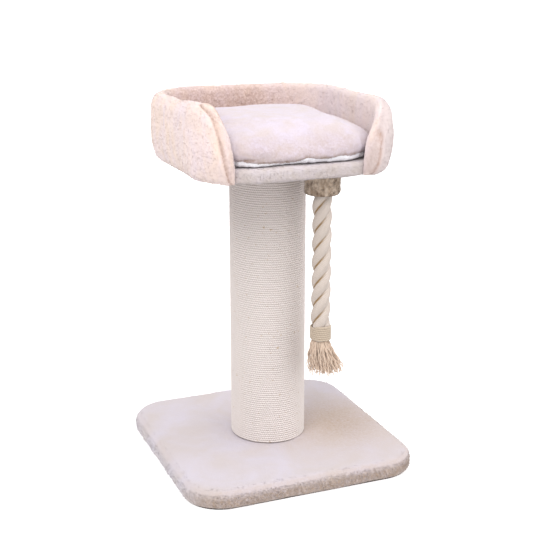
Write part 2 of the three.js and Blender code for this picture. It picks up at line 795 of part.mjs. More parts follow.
function makeCap() {
  const shellOuter = capDiameter / 2 - capPlush - clearance;
  const shellInner = shellOuter - capShellWall;
  const top = bedBottom - clearance;
  const lip = capMouth + capPlush * 0.6;
  const shellFoot = lip + clearance;
  hang('rope_cap_shell', turned([
    [hookHoleRadius, top], [shellOuter, top], [shellOuter, shellFoot], [shellInner, shellFoot],
    [shellInner, top - capShellWall], [hookHoleRadius, top - capShellWall], [hookHoleRadius, top],
  ], 20), 0x6e6258, 0.6);
  const outer = capDiameter / 2;
  hang('rope_cap_cover', turned([
    [shellOuter + clearance, top], [outer, top], [outer, capMouth + capPlush],
    [outer - capPlush * 0.5, capMouth], [shellInner, capMouth], [shellInner, lip],
    [shellOuter + clearance, lip], [shellOuter + clearance, top],
  ], 20), 0xb09c90, 0.95);
}

// A ring with a plain shank from its wire to the given height.
function ringWithShank(z, far) {
  const near = z + Math.sign(far - z) * ringRadius;
  const shank = disc(hookShank, Math.min(near, far), Math.max(near, far), smallSides);
  return joined(wireRing(z, true), shank);
}

function whippingRings() {
  const radius = ropeNeckDiameter / 2 + clearance + whippingCord / 2;
  const start = ropeEnd + whippingCord / 2 + clearance;
  return woundRings(0, whippingLoops, stepsPerTurn, whippingCord, (turns) => (
    Array.from({ length: 6 }, (_, i) => {
      const angle = (Math.PI * i) / 3;
      return [
        radius + (whippingCord / 2) * Math.cos(angle),
        start + whippingPitch * turns + (whippingCord / 2) * Math.sin(angle),
      ];
    })
  ));
}

// The rope's frayed end: clumps of yarn that spread downwards.
function tassel() {
  const clumps = 9;
  const clumpDepth = 0.14;
  const sides = clumps * 4;
  const levels = [[0.44, 0], [0.56, 0.12], [0.7, 0.32], [0.85, 0.58], [0.96, 0.84], [1, 1]];
  return loft(levels.map(([share, drop]) => Array.from({ length: sides }, (_, i) => {
    const angle = (2 * Math.PI * i) / sides;
    const clump = 1 - (clumpDepth / 2) * drop * (1 + Math.cos(clumps * angle));
    const radius = (tasselDiameter / 2) * share * clump;
    return new THREE.Vector3(
      radius * Math.cos(angle), radius * Math.sin(angle), ropeEnd - clearance - tasselLength * drop,
    );
  })));
}

function makeRope() {
  makeCap();
  hang('rope_hook', ringWithShank(hookPivot + ringRadius, bedBottom + hookGrip), 0xa7a8aa, 0.35, 0.9);
  hang('rope_link', wireRing(linkPivot + ringRadius, false), 0xa7a8aa, 0.35, 0.9);
  hang('rope_eye', ringWithShank(eyeMiddle, ropeTop - eyeGrip), 0xa7a8aa, 0.35, 0.9);

  const radius = ropeDiameter / 2;
  const neck = ropeNeckDiameter / 2;
  const whipHeight = whippingPitch * whippingLoops + whippingCord;
  const shoulder = ropeEnd + whipHeight + 2 * clearance;
  const body = turned([
    [0, ropeTop], [radius * 0.8, ropeTop], [radius, ropeTop - radius * 0.2],
    ...[0.33, 0.67].map((share) => [radius, THREE.MathUtils.lerp(ropeTop, shoulder, share)]),
    [radius, shoulder + radius - neck], [neck, shoulder], [neck, ropeEnd], [0, ropeEnd],
  ], 12);
  const bore = disc(hookShank + clearance, ropeTop - eyeGrip - clearance, ropeTop + 1, smallSides);
  hang('play_rope', cut(body, bore), 0xd6cabd, 0.9);

  const whipping = whippingRings();
  console.log(`rope_whipping: least gap between turns ${leastTurnGap(whipping, stepsPerTurn).toFixed(2)} mm`);
  hang('rope_whipping', loft(whipping), 0xcdbbaa, 0.85);
  hang('rope_tassel', tassel(), 0xceb7a3, 0.95);
}

makeBase();
makePost();
makeBedBoard();
makeWall();
makeCushion();
makeRope();

export default group;
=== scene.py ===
# A scratching post with a bed on top and a play rope under it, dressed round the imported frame.
# Metres, +Z up. The open front of the bed faces -Y.
import math

import bpy
import numpy as np
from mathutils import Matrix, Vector, noise


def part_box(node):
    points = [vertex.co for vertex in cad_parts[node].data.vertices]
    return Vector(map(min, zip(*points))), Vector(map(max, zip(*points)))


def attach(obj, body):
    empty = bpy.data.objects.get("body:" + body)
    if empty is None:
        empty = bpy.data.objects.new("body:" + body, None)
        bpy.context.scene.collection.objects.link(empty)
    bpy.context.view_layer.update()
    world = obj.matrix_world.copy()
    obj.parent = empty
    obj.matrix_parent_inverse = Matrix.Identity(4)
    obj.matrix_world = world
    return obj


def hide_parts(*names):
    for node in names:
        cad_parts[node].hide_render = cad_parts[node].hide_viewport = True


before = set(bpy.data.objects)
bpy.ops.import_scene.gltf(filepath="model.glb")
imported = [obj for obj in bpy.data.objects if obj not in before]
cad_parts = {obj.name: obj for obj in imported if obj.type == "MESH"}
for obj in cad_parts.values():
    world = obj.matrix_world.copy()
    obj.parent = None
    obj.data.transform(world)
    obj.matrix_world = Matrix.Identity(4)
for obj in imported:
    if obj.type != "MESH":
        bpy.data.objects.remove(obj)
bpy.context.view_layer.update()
scene = bpy.context.scene
print("frame loaded:", len(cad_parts), "nodes")

# ---- camera, floor and light

portrait = {
    "place": (-0.8207, -2.0542, 1.0419),
    "turn": (73.9, 0, -21.91),  # degrees
    "lens": 72.53,
    "sensor": 36,
}


def setCamera(settings):
    camera = bpy.data.objects.new("portraitCamera", bpy.data.cameras.new("portraitCamera"))
    scene.collection.objects.link(camera)
    camera.location = settings["place"]
    camera.rotation_euler = [math.radians(angle) for angle in settings["turn"]]
    camera.data.lens = settings["lens"]
    camera.data.sensor_width = settings["sensor"]
    camera.data.clip_end = 200
    scene.camera = camera


studio = {
    "skyLight": 1.0,
    "floorSize": 90,
    "floorWhite": (0.93, 0.93, 0.935),
    "floorGlow": 0.35,
    "keyPower": 1.5,
    "keyTurn": (42, 0, -45),  # degrees, from the left, in front and above
    "keySoftness": 36,  # degrees across
    "fillPower": 1.3,
    "fillTurn": (65, 0, 55),
    "fillSoftness": 90,
}


def setStudio(settings):
    scene.view_settings.view_transform = "Standard"
    world = bpy.data.worlds.new("studioSky")
    world.use_nodes = True
    backdrop = world.node_tree.nodes["Background"]
    backdrop.inputs["Color"].default_value = (1, 1, 1, 1)
    backdrop.inputs["Strength"].default_value = settings["skyLight"]
    scene.world = world
    for name in ("key", "fill"):
        light = bpy.data.lights.new(name + "Light", "SUN")
        light.energy = settings[name + "Power"]
        light.angle = math.radians(settings[name + "Softness"])
        lamp = bpy.data.objects.new(name + "Light", light)
        lamp.rotation_euler = [math.radians(angle) for angle in settings[name + "Turn"]]
        scene.collection.objects.link(lamp)
    half = settings["floorSize"] / 2
    corners = [(-half, -half, 0), (half, -half, 0), (half, half, 0), (-half, half, 0)]
    mesh = bpy.data.meshes.new("studioFloor")
    mesh.from_pydata(corners, [], [(0, 1, 2, 3)])
    floor = bpy.data.objects.new("studioFloor", mesh)
    scene.collection.objects.link(floor)
    paint = bpy.data.materials.new("floorPaint")
    paint.use_nodes = True
    shader = paint.node_tree.nodes["Principled BSDF"]
    shader.inputs["Base Color"].default_value = (*settings["floorWhite"], 1)
    shader.inputs["Roughness"].default_value = 0.9
    shader.inputs["Emission Color"].default_value = (1, 1, 1, 1)
    shader.inputs["Emission Strength"].default_value = settings["floorGlow"]
    mesh.materials.append(paint)
    floor.visible_diffuse = False  # a white floor that throws no glare on what faces down


setCamera(portrait)
setStudio(studio)
print("camera and studio set")

# ---- helpers for node trees


def socketOf(sockets, key):
    if isinstance(key, int):
        return sockets[key]
    named = [socket for socket in sockets if socket.name == key]
    return next((socket for socket in named if socket.enabled), named[0])


# One node, with its inputs given by name or place as values or as other nodes' outputs.
def put(tree, kind, inputs=None, output=0, **settings):
    node = tree.nodes.new(kind)
    for key, value in settings.items():
        setattr(node, key, value)
    for key, value in (inputs or {}).items():
        socket = socketOf(node.inputs, key)
        if isinstance(value, bpy.types.NodeSocket):
            tree.links.new(value, socket)
        else:
            socket.default_value = value
    return node if output is None else socketOf(node.outputs, output)


def calc(tree, operation, *values):
    return put(tree, "ShaderNodeMath", dict(enumerate(values)), operation=operation)


def times(tree, first, *others):
    for value in others:
        first = calc(tree, "MULTIPLY", first, value)
    return first


def plus(tree, *values):
    return calc(tree, "ADD", *values)


def inverse(tree, value, share=1.0):
    return calc(tree, "DIVIDE", share, value)


def vectorCalc(tree, operation, *values):
    return put(tree, "ShaderNodeVectorMath", dict(enumerate(values)), operation=operation)


def scaled(tree, vector, factor):
    return put(tree, "ShaderNodeVectorMath", {0: vector, "Scale": factor}, operation="SCALE")


def vectorOf(tree, x=0.0, y=0.0, z=0.0):
    return put(tree, "ShaderNodeCombineXYZ", {"X": x, "Y": y, "Z": z})


def partsOf(tree, vector):
    return put(tree, "ShaderNodeSeparateXYZ", {"Vector": vector}, None).outputs


def cloudy(tree, place, scale, detail=2.0, roughness=0.5, distortion=0.0, output="Fac"):
    return put(tree, "ShaderNodeTexNoise", {
        "Vector": place, "Scale": scale, "Detail": detail, "Roughness": roughness, "Distortion": distortion,
    }, output)


def between(tree, value, low, high, newLow=0.0, newHigh=1.0):
    return put(tree, "ShaderNodeMapRange", {
        "Value": value, "From Min": low, "From Max": high, "To Min": newLow, "To Max": newHigh,
    })


# Colours are sockets or red, green and blue up to 255.
def blendColours(tree, factor, first, second):
    first, second = [colour(*mixed) if isinstance(mixed, tuple) else mixed for mixed in (first, second)]
    inputs = {"Factor": factor, "A": first, "B": second}
    return put(tree, "ShaderNodeMix", inputs, "Result", data_type="RGBA")


# A node group with its inputs' names and usual values, and its outputs' names.
def startTree(kind, name, inputs, outputs, outputKind):
    tree = bpy.data.node_groups.new(name, kind)
    for label, value in inputs.items():
        socket = {
            float: "NodeSocketFloat", int: "NodeSocketInt", tuple: "NodeSocketVector", str: value,
        }[type(value)]
        item = tree.interface.new_socket(label, in_out="INPUT", socket_type=socket)
        if not isinstance(value, str):
            item.default_value = value
    for label in outputs:
        tree.interface.new_socket(label, in_out="OUTPUT", socket_type=outputKind)
    return tree, tree.nodes.new("NodeGroupInput").outputs, tree.nodes.new("NodeGroupOutput").inputs


def startEffect(name, inputs, *outputs):
    inputs = {"Place": (0.0, 0.0, 0.0), **inputs}
    return startTree("ShaderNodeTree", name, inputs, outputs, "NodeSocketFloat")


def startGrowth(name, inputs):
    inputs = {"Geometry": "NodeSocketGeometry", **inputs, "Finish": "NodeSocketMaterial"}
    return startTree("GeometryNodeTree", name, inputs, ["Geometry"], "NodeSocketGeometry")


def colour(*shares):
    parts = [value / 255 for value in shares]
    return (*[part / 12.92 if part <= 0.04045 else ((part + 0.055) / 1.055) ** 2.4 for part in parts], 1)


# ---- effects shared by several finishes


# Short pile: soft patches of another tone where the nap lies another way, partly real tone and partly painted
# sheen, and tufts, whose hollows the finishes darken as painted shade.
def makePileEffect():
    tree, given, out = startEffect("pileEffect", {
        "Patch": 0.05, "Tuft": 0.004, "Stretch": 1.0,
    }, "Nap", "Tufts", "Height")
    place = vectorCalc(tree, "MULTIPLY", given["Place"], vectorOf(tree, 1.0, 1.0, given["Stretch"]))
    patches = cloudy(tree, place, inverse(tree, given["Patch"]), 3.0, 0.55, 0.6)
    tufts = cloudy(tree, given["Place"], inverse(tree, given["Tuft"]), 2.0, 0.6, 0.8)
    fine = cloudy(tree, given["Place"], inverse(tree, given["Tuft"], 3.4), 2.0, 0.7, 0.3)
    tree.links.new(between(tree, patches, 0.32, 0.68), out["Nap"])
    tree.links.new(between(tree, tufts, 0.3, 0.7), out["Tufts"])
    tree.links.new(plus(tree, times(tree, tufts, 0.7), times(tree, fine, 0.3)), out["Height"])
    return tree


# Twisted strands. Place holds the cosine and sine round the cord and the length along it.
def makeTwistEffect():
    tree, given, out = startEffect("twistEffect", {
        "Strands": 3.0, "Lay": 0.012, "Hair": 0.0006,
    }, "Crown", "Fibre", "Height")
    ring = partsOf(tree, given["Place"])
    bearing = calc(tree, "ARCTAN2", ring["Y"], ring["X"])
    climb = calc(tree, "DIVIDE", ring["Z"], given["Lay"])
    phase = times(tree, calc(tree, "SUBTRACT", calc(tree, "DIVIDE", bearing, 2 * math.pi), climb),
                  given["Strands"])
    wave = calc(tree, "ABSOLUTE", calc(tree, "SINE", times(tree, phase, math.pi)))
    crown = calc(tree, "POWER", wave, 0.55)
    # fibres run along the strands, so the noise is squeezed along the length
    angle = calc(tree, "SUBTRACT", bearing, times(tree, climb, 2 * math.pi))
    spun = vectorOf(tree, calc(tree, "COSINE", angle), calc(tree, "SINE", angle),
                    times(tree, ring["Z"], 60.0))
    hair = cloudy(tree, spun, inverse(tree, given["Hair"], 0.003), 3.0, 0.65)
    tree.links.new(crown, out["Crown"])
    tree.links.new(between(tree, hair, 0.3, 0.7), out["Fibre"])
    tree.links.new(plus(tree, times(tree, crown, 0.75), times(tree, hair, 0.25)), out["Height"])
    return tree


# Two crossing sets of threads.
def makeWeaveEffect():
    tree, given, out = startEffect("weaveEffect", {"Thread": 0.0007}, "Over", "Height", "Slub")
    axes = partsOf(tree, given["Place"])
    across, upward = plus(tree, axes["X"], times(tree, axes["Z"], 0.6)), plus(tree, axes["Y"], axes["Z"])
    warp, weft = [calc(tree, "SINE", times(tree, calc(tree, "DIVIDE", way, given["Thread"]), math.pi))
                  for way in (across, upward)]
    over = between(tree, times(tree, warp, weft), -1.0, 1.0)
    slub = cloudy(tree, given["Place"], 240.0, 2.0, 0.6)
    tree.links.new(over, out["Over"])
    tree.links.new(between(tree, slub, 0.3, 0.7), out["Slub"])
    tree.links.new(plus(tree, over, slub), out["Height"])
    return tree


# Scuffs and fine pits of a handled metal or plastic piece.
def makeScuffEffect():
    tree, given, out = startEffect("scuffEffect", {"Size": 0.003}, "Scuff", "Height")
    scale = inverse(tree, given["Size"])
    tree.links.new(between(tree, cloudy(tree, given["Place"], scale, 4.0), 0.35, 0.65), out["Scuff"])
    tree.links.new(cloudy(tree, given["Place"], times(tree, scale, 5.0)), out["Height"])
    return tree


# Pressed chips or straight grain, as Stretch asks.
def makeWoodEffect():
    tree, given, out = startEffect("woodEffect", {"Chip": 0.004, "Stretch": 1.0}, "Tone", "Height")
    place = vectorCalc(tree, "MULTIPLY", given["Place"], vectorOf(tree, given["Stretch"], 1.0, 1.0))
    scale = inverse(tree, given["Chip"])
    chips = put(tree, "ShaderNodeTexVoronoi", {"Vector": place, "Scale": scale, "Randomness": 1.0}, "Color")
    tone = put(tree, "ShaderNodeSeparateColor", {"Color": chips}, "Red")
    grain = cloudy(tree, place, scale, 4.0)
    tree.links.new(plus(tree, times(tree, tone, 0.5), times(tree, grain, 0.5)), out["Tone"])
    tree.links.new(grain, out["Height"])
    return tree


pileEffect = makePileEffect()
twistEffect = makeTwistEffect()
weaveEffect = makeWeaveEffect()
scuffEffect = makeScuffEffect()
woodEffect = makeWoodEffect()

# ---- finishes


def startFinish(name, roughness, **constants):
    material = bpy.data.materials.new(name)
    material.use_nodes = True
    tree = material.node_tree
    shader = tree.nodes["Principled BSDF"]
    shader.inputs["Roughness"].default_value = roughness
    for key, value in constants.items():
        shader.inputs[key].default_value = value
    return material, tree, shader.inputs


def useEffect(tree, effect, inputs):
    node = tree.nodes.new("ShaderNodeGroup")
    node.node_tree = effect
    for key, value in inputs.items():
        if isinstance(value, bpy.types.NodeSocket):
            tree.links.new(value, node.inputs[key])
        else:
            node.inputs[key].default_value = value
    return node.outputs


def objectPlace(tree):
    return put(tree, "ShaderNodeTexCoord", output="Object")


def addBump(tree, shaderInputs, height, depth):
    normal = put(tree, "ShaderNodeBump", {"Strength": 1.0, "Distance": depth, "Height": height})
    tree.links.new(normal, shaderInputs["Normal"])


def startFabric(name, roughness, sheen, gloss):
    return startFinish(name, roughness, **{
        "Sheen Weight": sheen, "Sheen Roughness": 0.5, "Specular IOR Level": gloss,
    })


def pointShare(tree, label):
    return put(tree, "ShaderNodeAttribute", output="Fac", attribute_name=label)


def plushFinish(name, look):
    material, tree, shader = startFabric(name, 0.95, look["sheen"], 0.15)
    pile = useEffect(tree, pileEffect, {
        "Place": objectPlace(tree), "Patch": look["patch"], "Tuft": look["tuft"], "Stretch": look["stretch"],
    })
    body = blendColours(tree, pile["Nap"], look["colour"], look["warm"])
    # painted shade in the hollows between tufts: the lower a tuft, the nearer its colour comes to the deep
    # colour
    body = blendColours(tree, between(tree, pile["Tufts"], 0.0, 1.0, look["depth"], 0.0), body, look["deep"])
    # stretches that face away from the warm light read cooler, as a point attribute says
    if "cool" in look:
        body = blendColours(tree, pointShare(tree, "cool"), body, look["cool"])
    # painted shade: where shade falls (sides away from the key light, rolled edges, seams, folds, the inside
    # of the wall, the post's shadow), a point attribute darkens the pile tuft by tuft
    mottled = times(tree, pointShare(tree, "shade"), between(tree, pile["Tufts"], 0.0, 1.0, 1.3, 0.5))
    tree.links.new(blendColours(tree, mottled, body, look["shadow"]), shader["Base Color"])
    addBump(tree, shader, pile["Height"], look["bump"])
    return material


def cordFinish(name, look):
    material, tree, shader = startFabric(name, 0.85, look["sheen"], 0.2)
    twist = useEffect(tree, twistEffect, {
        "Place": put(tree, "ShaderNodeAttribute", output="Vector", attribute_name="ring"),
        "Strands": look["strands"], "Lay": look["lay"], "Hair": look["hair"],
    })
    body = blendColours(tree, twist["Fibre"], look["colour"], look["warm"])
    # painted shade in the grooves between strands: the lower on a strand, the nearer to the deep colour
    deep = between(tree, twist["Crown"], 0.15, 0.75, look["depth"], 0.0)
    body = blendColours(tree, deep, body, look["deep"])
    flecks = cloudy(tree, objectPlace(tree), look["fleckScale"])
    start = look["fleckStart"]
    flecks = between(tree, flecks, start, start + 0.06, 0.0, look["fleckDepth"])
    body = blendColours(tree, flecks, body, look["fleck"])
    # painted shade in creases, where a point attribute lays on the shadow colour
    if "shadow" in look:
        body = blendColours(tree, pointShare(tree, "shade"), body, look["shadow"])
    tree.links.new(body, shader["Base Color"])
    addBump(tree, shader, twist["Height"], look["bump"])
    return material


def clothFinish(name, look):
    material, tree, shader = startFabric(name, 0.9, look["sheen"], 0.2)
    weave = useEffect(tree, weaveEffect, {"Place": objectPlace(tree), "Thread": look["thread"]})
    body = blendColours(tree, weave["Slub"], look["colour"], look["warm"])
    # painted shade where the threads dip under the others
    body = blendColours(tree, between(tree, weave["Over"], 0.0, 0.5, look["depth"], 0.0), body, look["deep"])
    tree.links.new(body, shader["Base Color"])
    addBump(tree, shader, weave["Height"], look["bump"])
    return material


def woodFinish(name, look):
    material, tree, shader = startFinish(name, look["roughness"])
    wood = useEffect(tree, woodEffect, {
        "Place": objectPlace(tree), "Chip": look["chip"], "Stretch": look["stretch"],
    })
    tree.links.new(blendColours(tree, wood["Tone"], look["colour"], look["deep"]), shader["Base Color"])
    addBump(tree, shader, wood["Height"], look["bump"])
    return material


def metalFinish(name, look):
    material, tree, shader = startFinish(name, look["roughness"], Metallic=look["metal"])
    scuff = useEffect(tree, scuffEffect, {"Place": objectPlace(tree), "Size": look["size"]})
    tree.links.new(blendColours(tree, scuff["Scuff"], look["colour"], look["worn"]), shader["Base Color"])
    tree.links.new(between(tree, scuff["Scuff"], 0.0, 1.0, look["roughness"], look["roughness"] + 0.2),
                   shader["Roughness"])
    addBump(tree, shader, scuff["Height"], look["bump"])
    return material


# deep is the painted shade between tufts, and shadow is the painted shade that the shade attribute lays on
plush = {
    "patch": 0.05, "tuft": 0.0045, "stretch": 1.0, "depth": 0.35, "sheen": 0.25, "bump": 0.0018,
    "colour": (233, 225, 236), "warm": (231, 219, 218), "deep": (200, 187, 185),
    "shadow": (161, 146, 139),
}
finishes = {
    "basePlush": (plushFinish, {
        **plush, "patch": 0.085, "depth": 0.16, "bump": 0.0012, "colour": (194, 187, 197),
        "warm": (190, 180, 180), "shadow": (170, 148, 130),
    }),
    "boardPlush": (plushFinish, {
        **plush, "depth": 0.22, "patch": 0.02, "colour": (208, 199, 205), "warm": (200, 190, 187),
    }),
    "wallPlush": (plushFinish, {
        **plush, "stretch": 0.4, "patch": 0.032, "colour": (232, 214, 217), "warm": (235, 212, 198),
        "depth": 0.16, "cool": (204, 191, 191), "shadow": (178, 150, 138),
    }),
    "cushionPlush": (plushFinish, {
        **plush, "patch": 0.035, "colour": (208, 198, 212), "warm": (204, 191, 192), "depth": 0.14,
        "deep": (178, 162, 160), "shadow": (150, 118, 94),
    }),
    "capPlush": (plushFinish, {
        **plush, "patch": 0.008, "stretch": 0.4, "colour": (224, 207, 190), "warm": (176, 153, 132),
        "deep": (152, 131, 112), "shadow": (109, 88, 71),
    }),
    "feltSheet": (plushFinish, {
        **plush, "tuft": 0.0012, "sheen": 0.1, "bump": 0.0006, "colour": (66, 60, 58),
        "warm": (78, 71, 66), "deep": (40, 36, 35),
    }),
    "sisal": (cordFinish, {
        "strands": 3.0, "lay": 0.013, "hair": 0.0005, "depth": 0.62, "bump": 0.0009, "sheen": 0.1,
        "colour": (229, 222, 221), "warm": (214, 203, 197), "deep": (163, 147, 133),
        "fleck": (177, 150, 113), "fleckScale": 150.0, "fleckStart": 0.68, "fleckDepth": 0.7,
    }),
    "ropeCotton": (cordFinish, {
        "strands": 13.0, "lay": 0.16, "hair": 0.0006, "depth": 0.35, "bump": 0.0012, "sheen": 0.2,
        "colour": (208, 196, 190), "warm": (196, 183, 171), "deep": (150, 130, 108),
        "shadow": (142, 110, 62),
        "fleck": (150, 124, 88), "fleckScale": 90.0, "fleckStart": 0.7, "fleckDepth": 0.35,
    }),
    "whippingCotton": (cordFinish, {
        "strands": 3.0, "lay": 0.014, "hair": 0.0005, "depth": 0.4, "bump": 0.0007, "sheen": 0.2,
        "colour": (194, 180, 164), "warm": (180, 162, 142), "deep": (118, 97, 74),
        "fleck": (139, 116, 80), "fleckScale": 120.0, "fleckStart": 0.72, "fleckDepth": 0.3,
    }),
    "tasselYarn": (cordFinish, {
        "strands": 2.0, "lay": 0.009, "hair": 0.0004, "depth": 0.4, "bump": 0.0006, "sheen": 0.25,
        "colour": (224, 205, 192), "warm": (206, 180, 155), "deep": (150, 122, 94),
        "fleck": (160, 130, 90), "fleckScale": 160.0, "fleckStart": 0.66, "fleckDepth": 0.4,
    }),
    "cottonLining": (clothFinish, {
        "thread": 0.0009, "depth": 0.25, "bump": 0.0004, "sheen": 0.1,
        "colour": (236, 234, 240), "warm": (228, 226, 230), "deep": (206, 202, 204),
    }),
    "chipboard": (woodFinish, {
        "chip": 0.0035, "stretch": 1.0, "roughness": 0.9, "bump": 0.0003,
        "colour": (214, 184, 142), "deep": (158, 122, 82),
    }),
    "plugWood": (woodFinish, {
        "chip": 0.0025, "stretch": 0.12, "roughness": 0.85, "bump": 0.0002,
        "colour": (206, 170, 126), "deep": (164, 124, 84),
    }),
    "hardboard": (woodFinish, {
        "chip": 0.0012, "stretch": 0.7, "roughness": 0.8, "bump": 0.0001,
        "colour": (150, 112, 74), "deep": (108, 76, 48),
    }),
    "kraftBoard": (woodFinish, {
        "chip": 0.002, "stretch": 0.3, "roughness": 0.9, "bump": 0.0001,
        "colour": (190, 160, 122), "deep": (160, 128, 92),
    }),
    "zinc": (metalFinish, {
        "roughness": 0.34, "metal": 0.95, "size": 0.004, "bump": 0.00005,
        "colour": (186, 190, 196), "worn": (150, 152, 156),
    }),
    "brassTurned": (metalFinish, {
        "roughness": 0.35, "metal": 0.95, "size": 0.003, "bump": 0.00005,
        "colour": (206, 178, 110), "worn": (168, 138, 78),
    }),
    "cupPlastic": (metalFinish, {
        "roughness": 0.5, "metal": 0.0, "size": 0.003, "bump": 0.00008,
        "colour": (122, 106, 94), "worn": (104, 90, 80),
    }),
}
finishes = {name: make(name, look) for name, (make, look) in finishes.items()}
print("finishes made:", len(finishes))

# ---- helpers for shapes


def newPiece(name, mesh, finish=None, smooth=True):
    piece = bpy.data.objects.new(name, mesh)
    scene.collection.objects.link(piece)
    if finish:
        mesh.materials.clear()
        mesh.materials.append(finishes[finish])
    if smooth:
        mesh.shade_smooth()
    return piece


def meshFrom(name, points, faces):
    mesh = bpy.data.meshes.new(name)
    mesh.from_pydata([tuple(map(float, point)) for point in points], [], [tuple(face) for face in faces])
    mesh.update()
    return mesh


# Quads between rings of equally many points. A loop of rings joins the last to the first.
def ringFaces(ringCount, pointCount, loop=False):
    faces = []
    for ring in range(ringCount if loop else ringCount - 1):
        here, above = ring * pointCount, ((ring + 1) % ringCount) * pointCount
        for i in range(pointCount):
            j = (i + 1) % pointCount
            faces.append((here + i, here + j, above + j, above + i))
    return faces


# Rings closed at each end by a fan of triangles round a middle point of its own.
def closedMesh(name, rings, middles, turned=False):
    count, last = len(rings[0]), (len(rings) - 1) * len(rings[0])
    points = np.vstack([np.concatenate(rings), *middles])
    faces = ringFaces(len(rings), count)
    for i in range(count):
        j = (i + 1) % count
        faces += [(len(points) - 2, j, i), (len(points) - 1, last + i, last + j)]
    return meshFrom(name, points, [face[::-1] for face in faces] if turned else faces)


def evaluatedMesh(piece):
    bpy.context.view_layer.update()
    graph = bpy.context.evaluated_depsgraph_get()
    return bpy.data.meshes.new_from_object(piece.evaluated_get(graph), preserve_all_data_layers=True,
                                           depsgraph=graph)


# The piece with its modifiers worked into the mesh.
def settle(piece):
    mesh = evaluatedMesh(piece)
    piece.modifiers.clear()
    piece.data = mesh
    mesh.shade_smooth()
    return piece


def subdivide(piece):
    modifier = piece.modifiers.new("finer", "SUBSURF")
    modifier.levels = modifier.render_levels = 1
    return settle(piece)


def pointsOf(mesh):
    points = np.empty(len(mesh.vertices) * 3, np.float32)
    mesh.vertices.foreach_get("co", points)
    return points.reshape(-1, 3).astype(float)


def normalsOf(mesh):
    normals = np.empty(len(mesh.vertices) * 3, np.float32)
    mesh.vertex_normals.foreach_get("vector", normals)
    return normals.reshape(-1, 3).astype(float)


def setPoints(mesh, points):
    mesh.vertices.foreach_set("co", np.asarray(points, np.float32).ravel())
    mesh.update()


def setShares(mesh, label, shares):
    attribute = mesh.attributes.get(label) or mesh.attributes.new(label, "FLOAT", "POINT")
    attribute.data.foreach_set("value", np.asarray(shares, np.float32))


def readShares(mesh, label):
    values = np.empty(len(mesh.vertices), np.float32)
    mesh.attributes[label].data.foreach_get("value", values)
    return values.astype(float)


def atHeight(flat, z):
    return np.column_stack([flat, np.full(len(flat), z)])


# From 0 to 1 while a value grows from 0 to its reach.
def fade(value, reach=1):
    return np.clip(value / reach, 0, 1)


# A bell round 0, as wide as asked for.
def bell(value, width=1):
    return np.exp(-(value / width) ** 2)


# Noise at places whose coordinates are arrays or single numbers.
def noiseOf(x, y, z):
    return np.array([noise.noise(Vector(place)) for place in np.broadcast(x, y, z)])


# Noise at points for each (size, depth) pair, all added up.
def wavesAt(points, layers, offset=(0, 0, 0)):
    waves = np.zeros(len(points))
    for size, depth in layers:
        waves += depth * np.array([noise.noise(Vector(point) / size + Vector(offset)) for point in points])
    return waves


# Soft unevenness along the normals, times a share for each point.
def roughen(piece, layers, share, seed=0.0):
    mesh = piece.data
    points, normals = pointsOf(mesh), normalsOf(mesh)
    shift = wavesAt(points, layers, (seed, seed * 0.7, -seed)) * share(points, normals)
    setPoints(mesh, points + normals * shift[:, None])


def finishPiece(piece, body, slot, *nodes):
    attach(piece, body)
    if nodes:
        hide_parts(*nodes)
    return piece


# A mesh worked out by a node tree, whose inputs take the values of their names in lower case.
def grown(name, tree, look, start=None):
    holder = bpy.data.objects.new(name + "Start", start or bpy.data.meshes.new(name + "Start"))
    scene.collection.objects.link(holder)
    modifier = holder.modifiers.new(tree.name, "NODES")
    modifier.node_group = tree
    for item in tree.interface.items_tree:
        if item.item_type == "SOCKET" and item.in_out == "INPUT" and item.name.lower() in look:
            value = look[item.name.lower()]
            modifier[item.identifier] = finishes[value] if item.name == "Finish" else value
    mesh = evaluatedMesh(holder)
    bpy.data.objects.remove(holder)
    mesh.name = name
    return mesh


# ---- trees for what is wound or napped


def store(tree, geometry, label, value, kind="FLOAT"):
    return put(tree, "GeometryNodeStoreNamedAttribute", {
        "Geometry": geometry, "Name": label, "Value": value,
    }, data_type=kind, domain="POINT")


def stored(tree, label, kind="FLOAT"):
    return put(tree, "GeometryNodeInputNamedAttribute", {"Name": label}, "Attribute", data_type=kind)


# A round cord along curves. Its ring attribute holds the place round it and along it, for the finish.
def thicken(tree, curves, thickness, sides):
    curves = store(tree, curves, "along", put(tree, "GeometryNodeSplineParameter", output="Length"))
    half = times(tree, thickness, 0.5)
    section = put(tree, "GeometryNodeCurvePrimitiveCircle", {"Resolution": sides, "Radius": half}, "Curve")
    place = scaled(tree, put(tree, "GeometryNodeInputPosition"), inverse(tree, half))
    section = store(tree, section, "section", place, "FLOAT_VECTOR")
    inputs = {"Curve": curves, "Profile Curve": section, "Fill Caps": True}
    cord = put(tree, "GeometryNodeCurveToMesh", inputs)
    parts = partsOf(tree, stored(tree, "section", "FLOAT_VECTOR"))
    return store(tree, cord, "ring", vectorOf(tree, parts["X"], parts["Y"], stored(tree, "along")),
                 "FLOAT_VECTOR")


def finishTree(tree, geometry, given, out):
    made = put(tree, "GeometryNodeRealizeInstances", {"Geometry": geometry})
    made = put(tree, "GeometryNodeSetShadeSmooth", {"Geometry": made, "Shade Smooth": True})
    made = put(tree, "GeometryNodeSetMaterial", {"Geometry": made, "Material": given["Finish"]})
    tree.links.new(made, out["Geometry"])


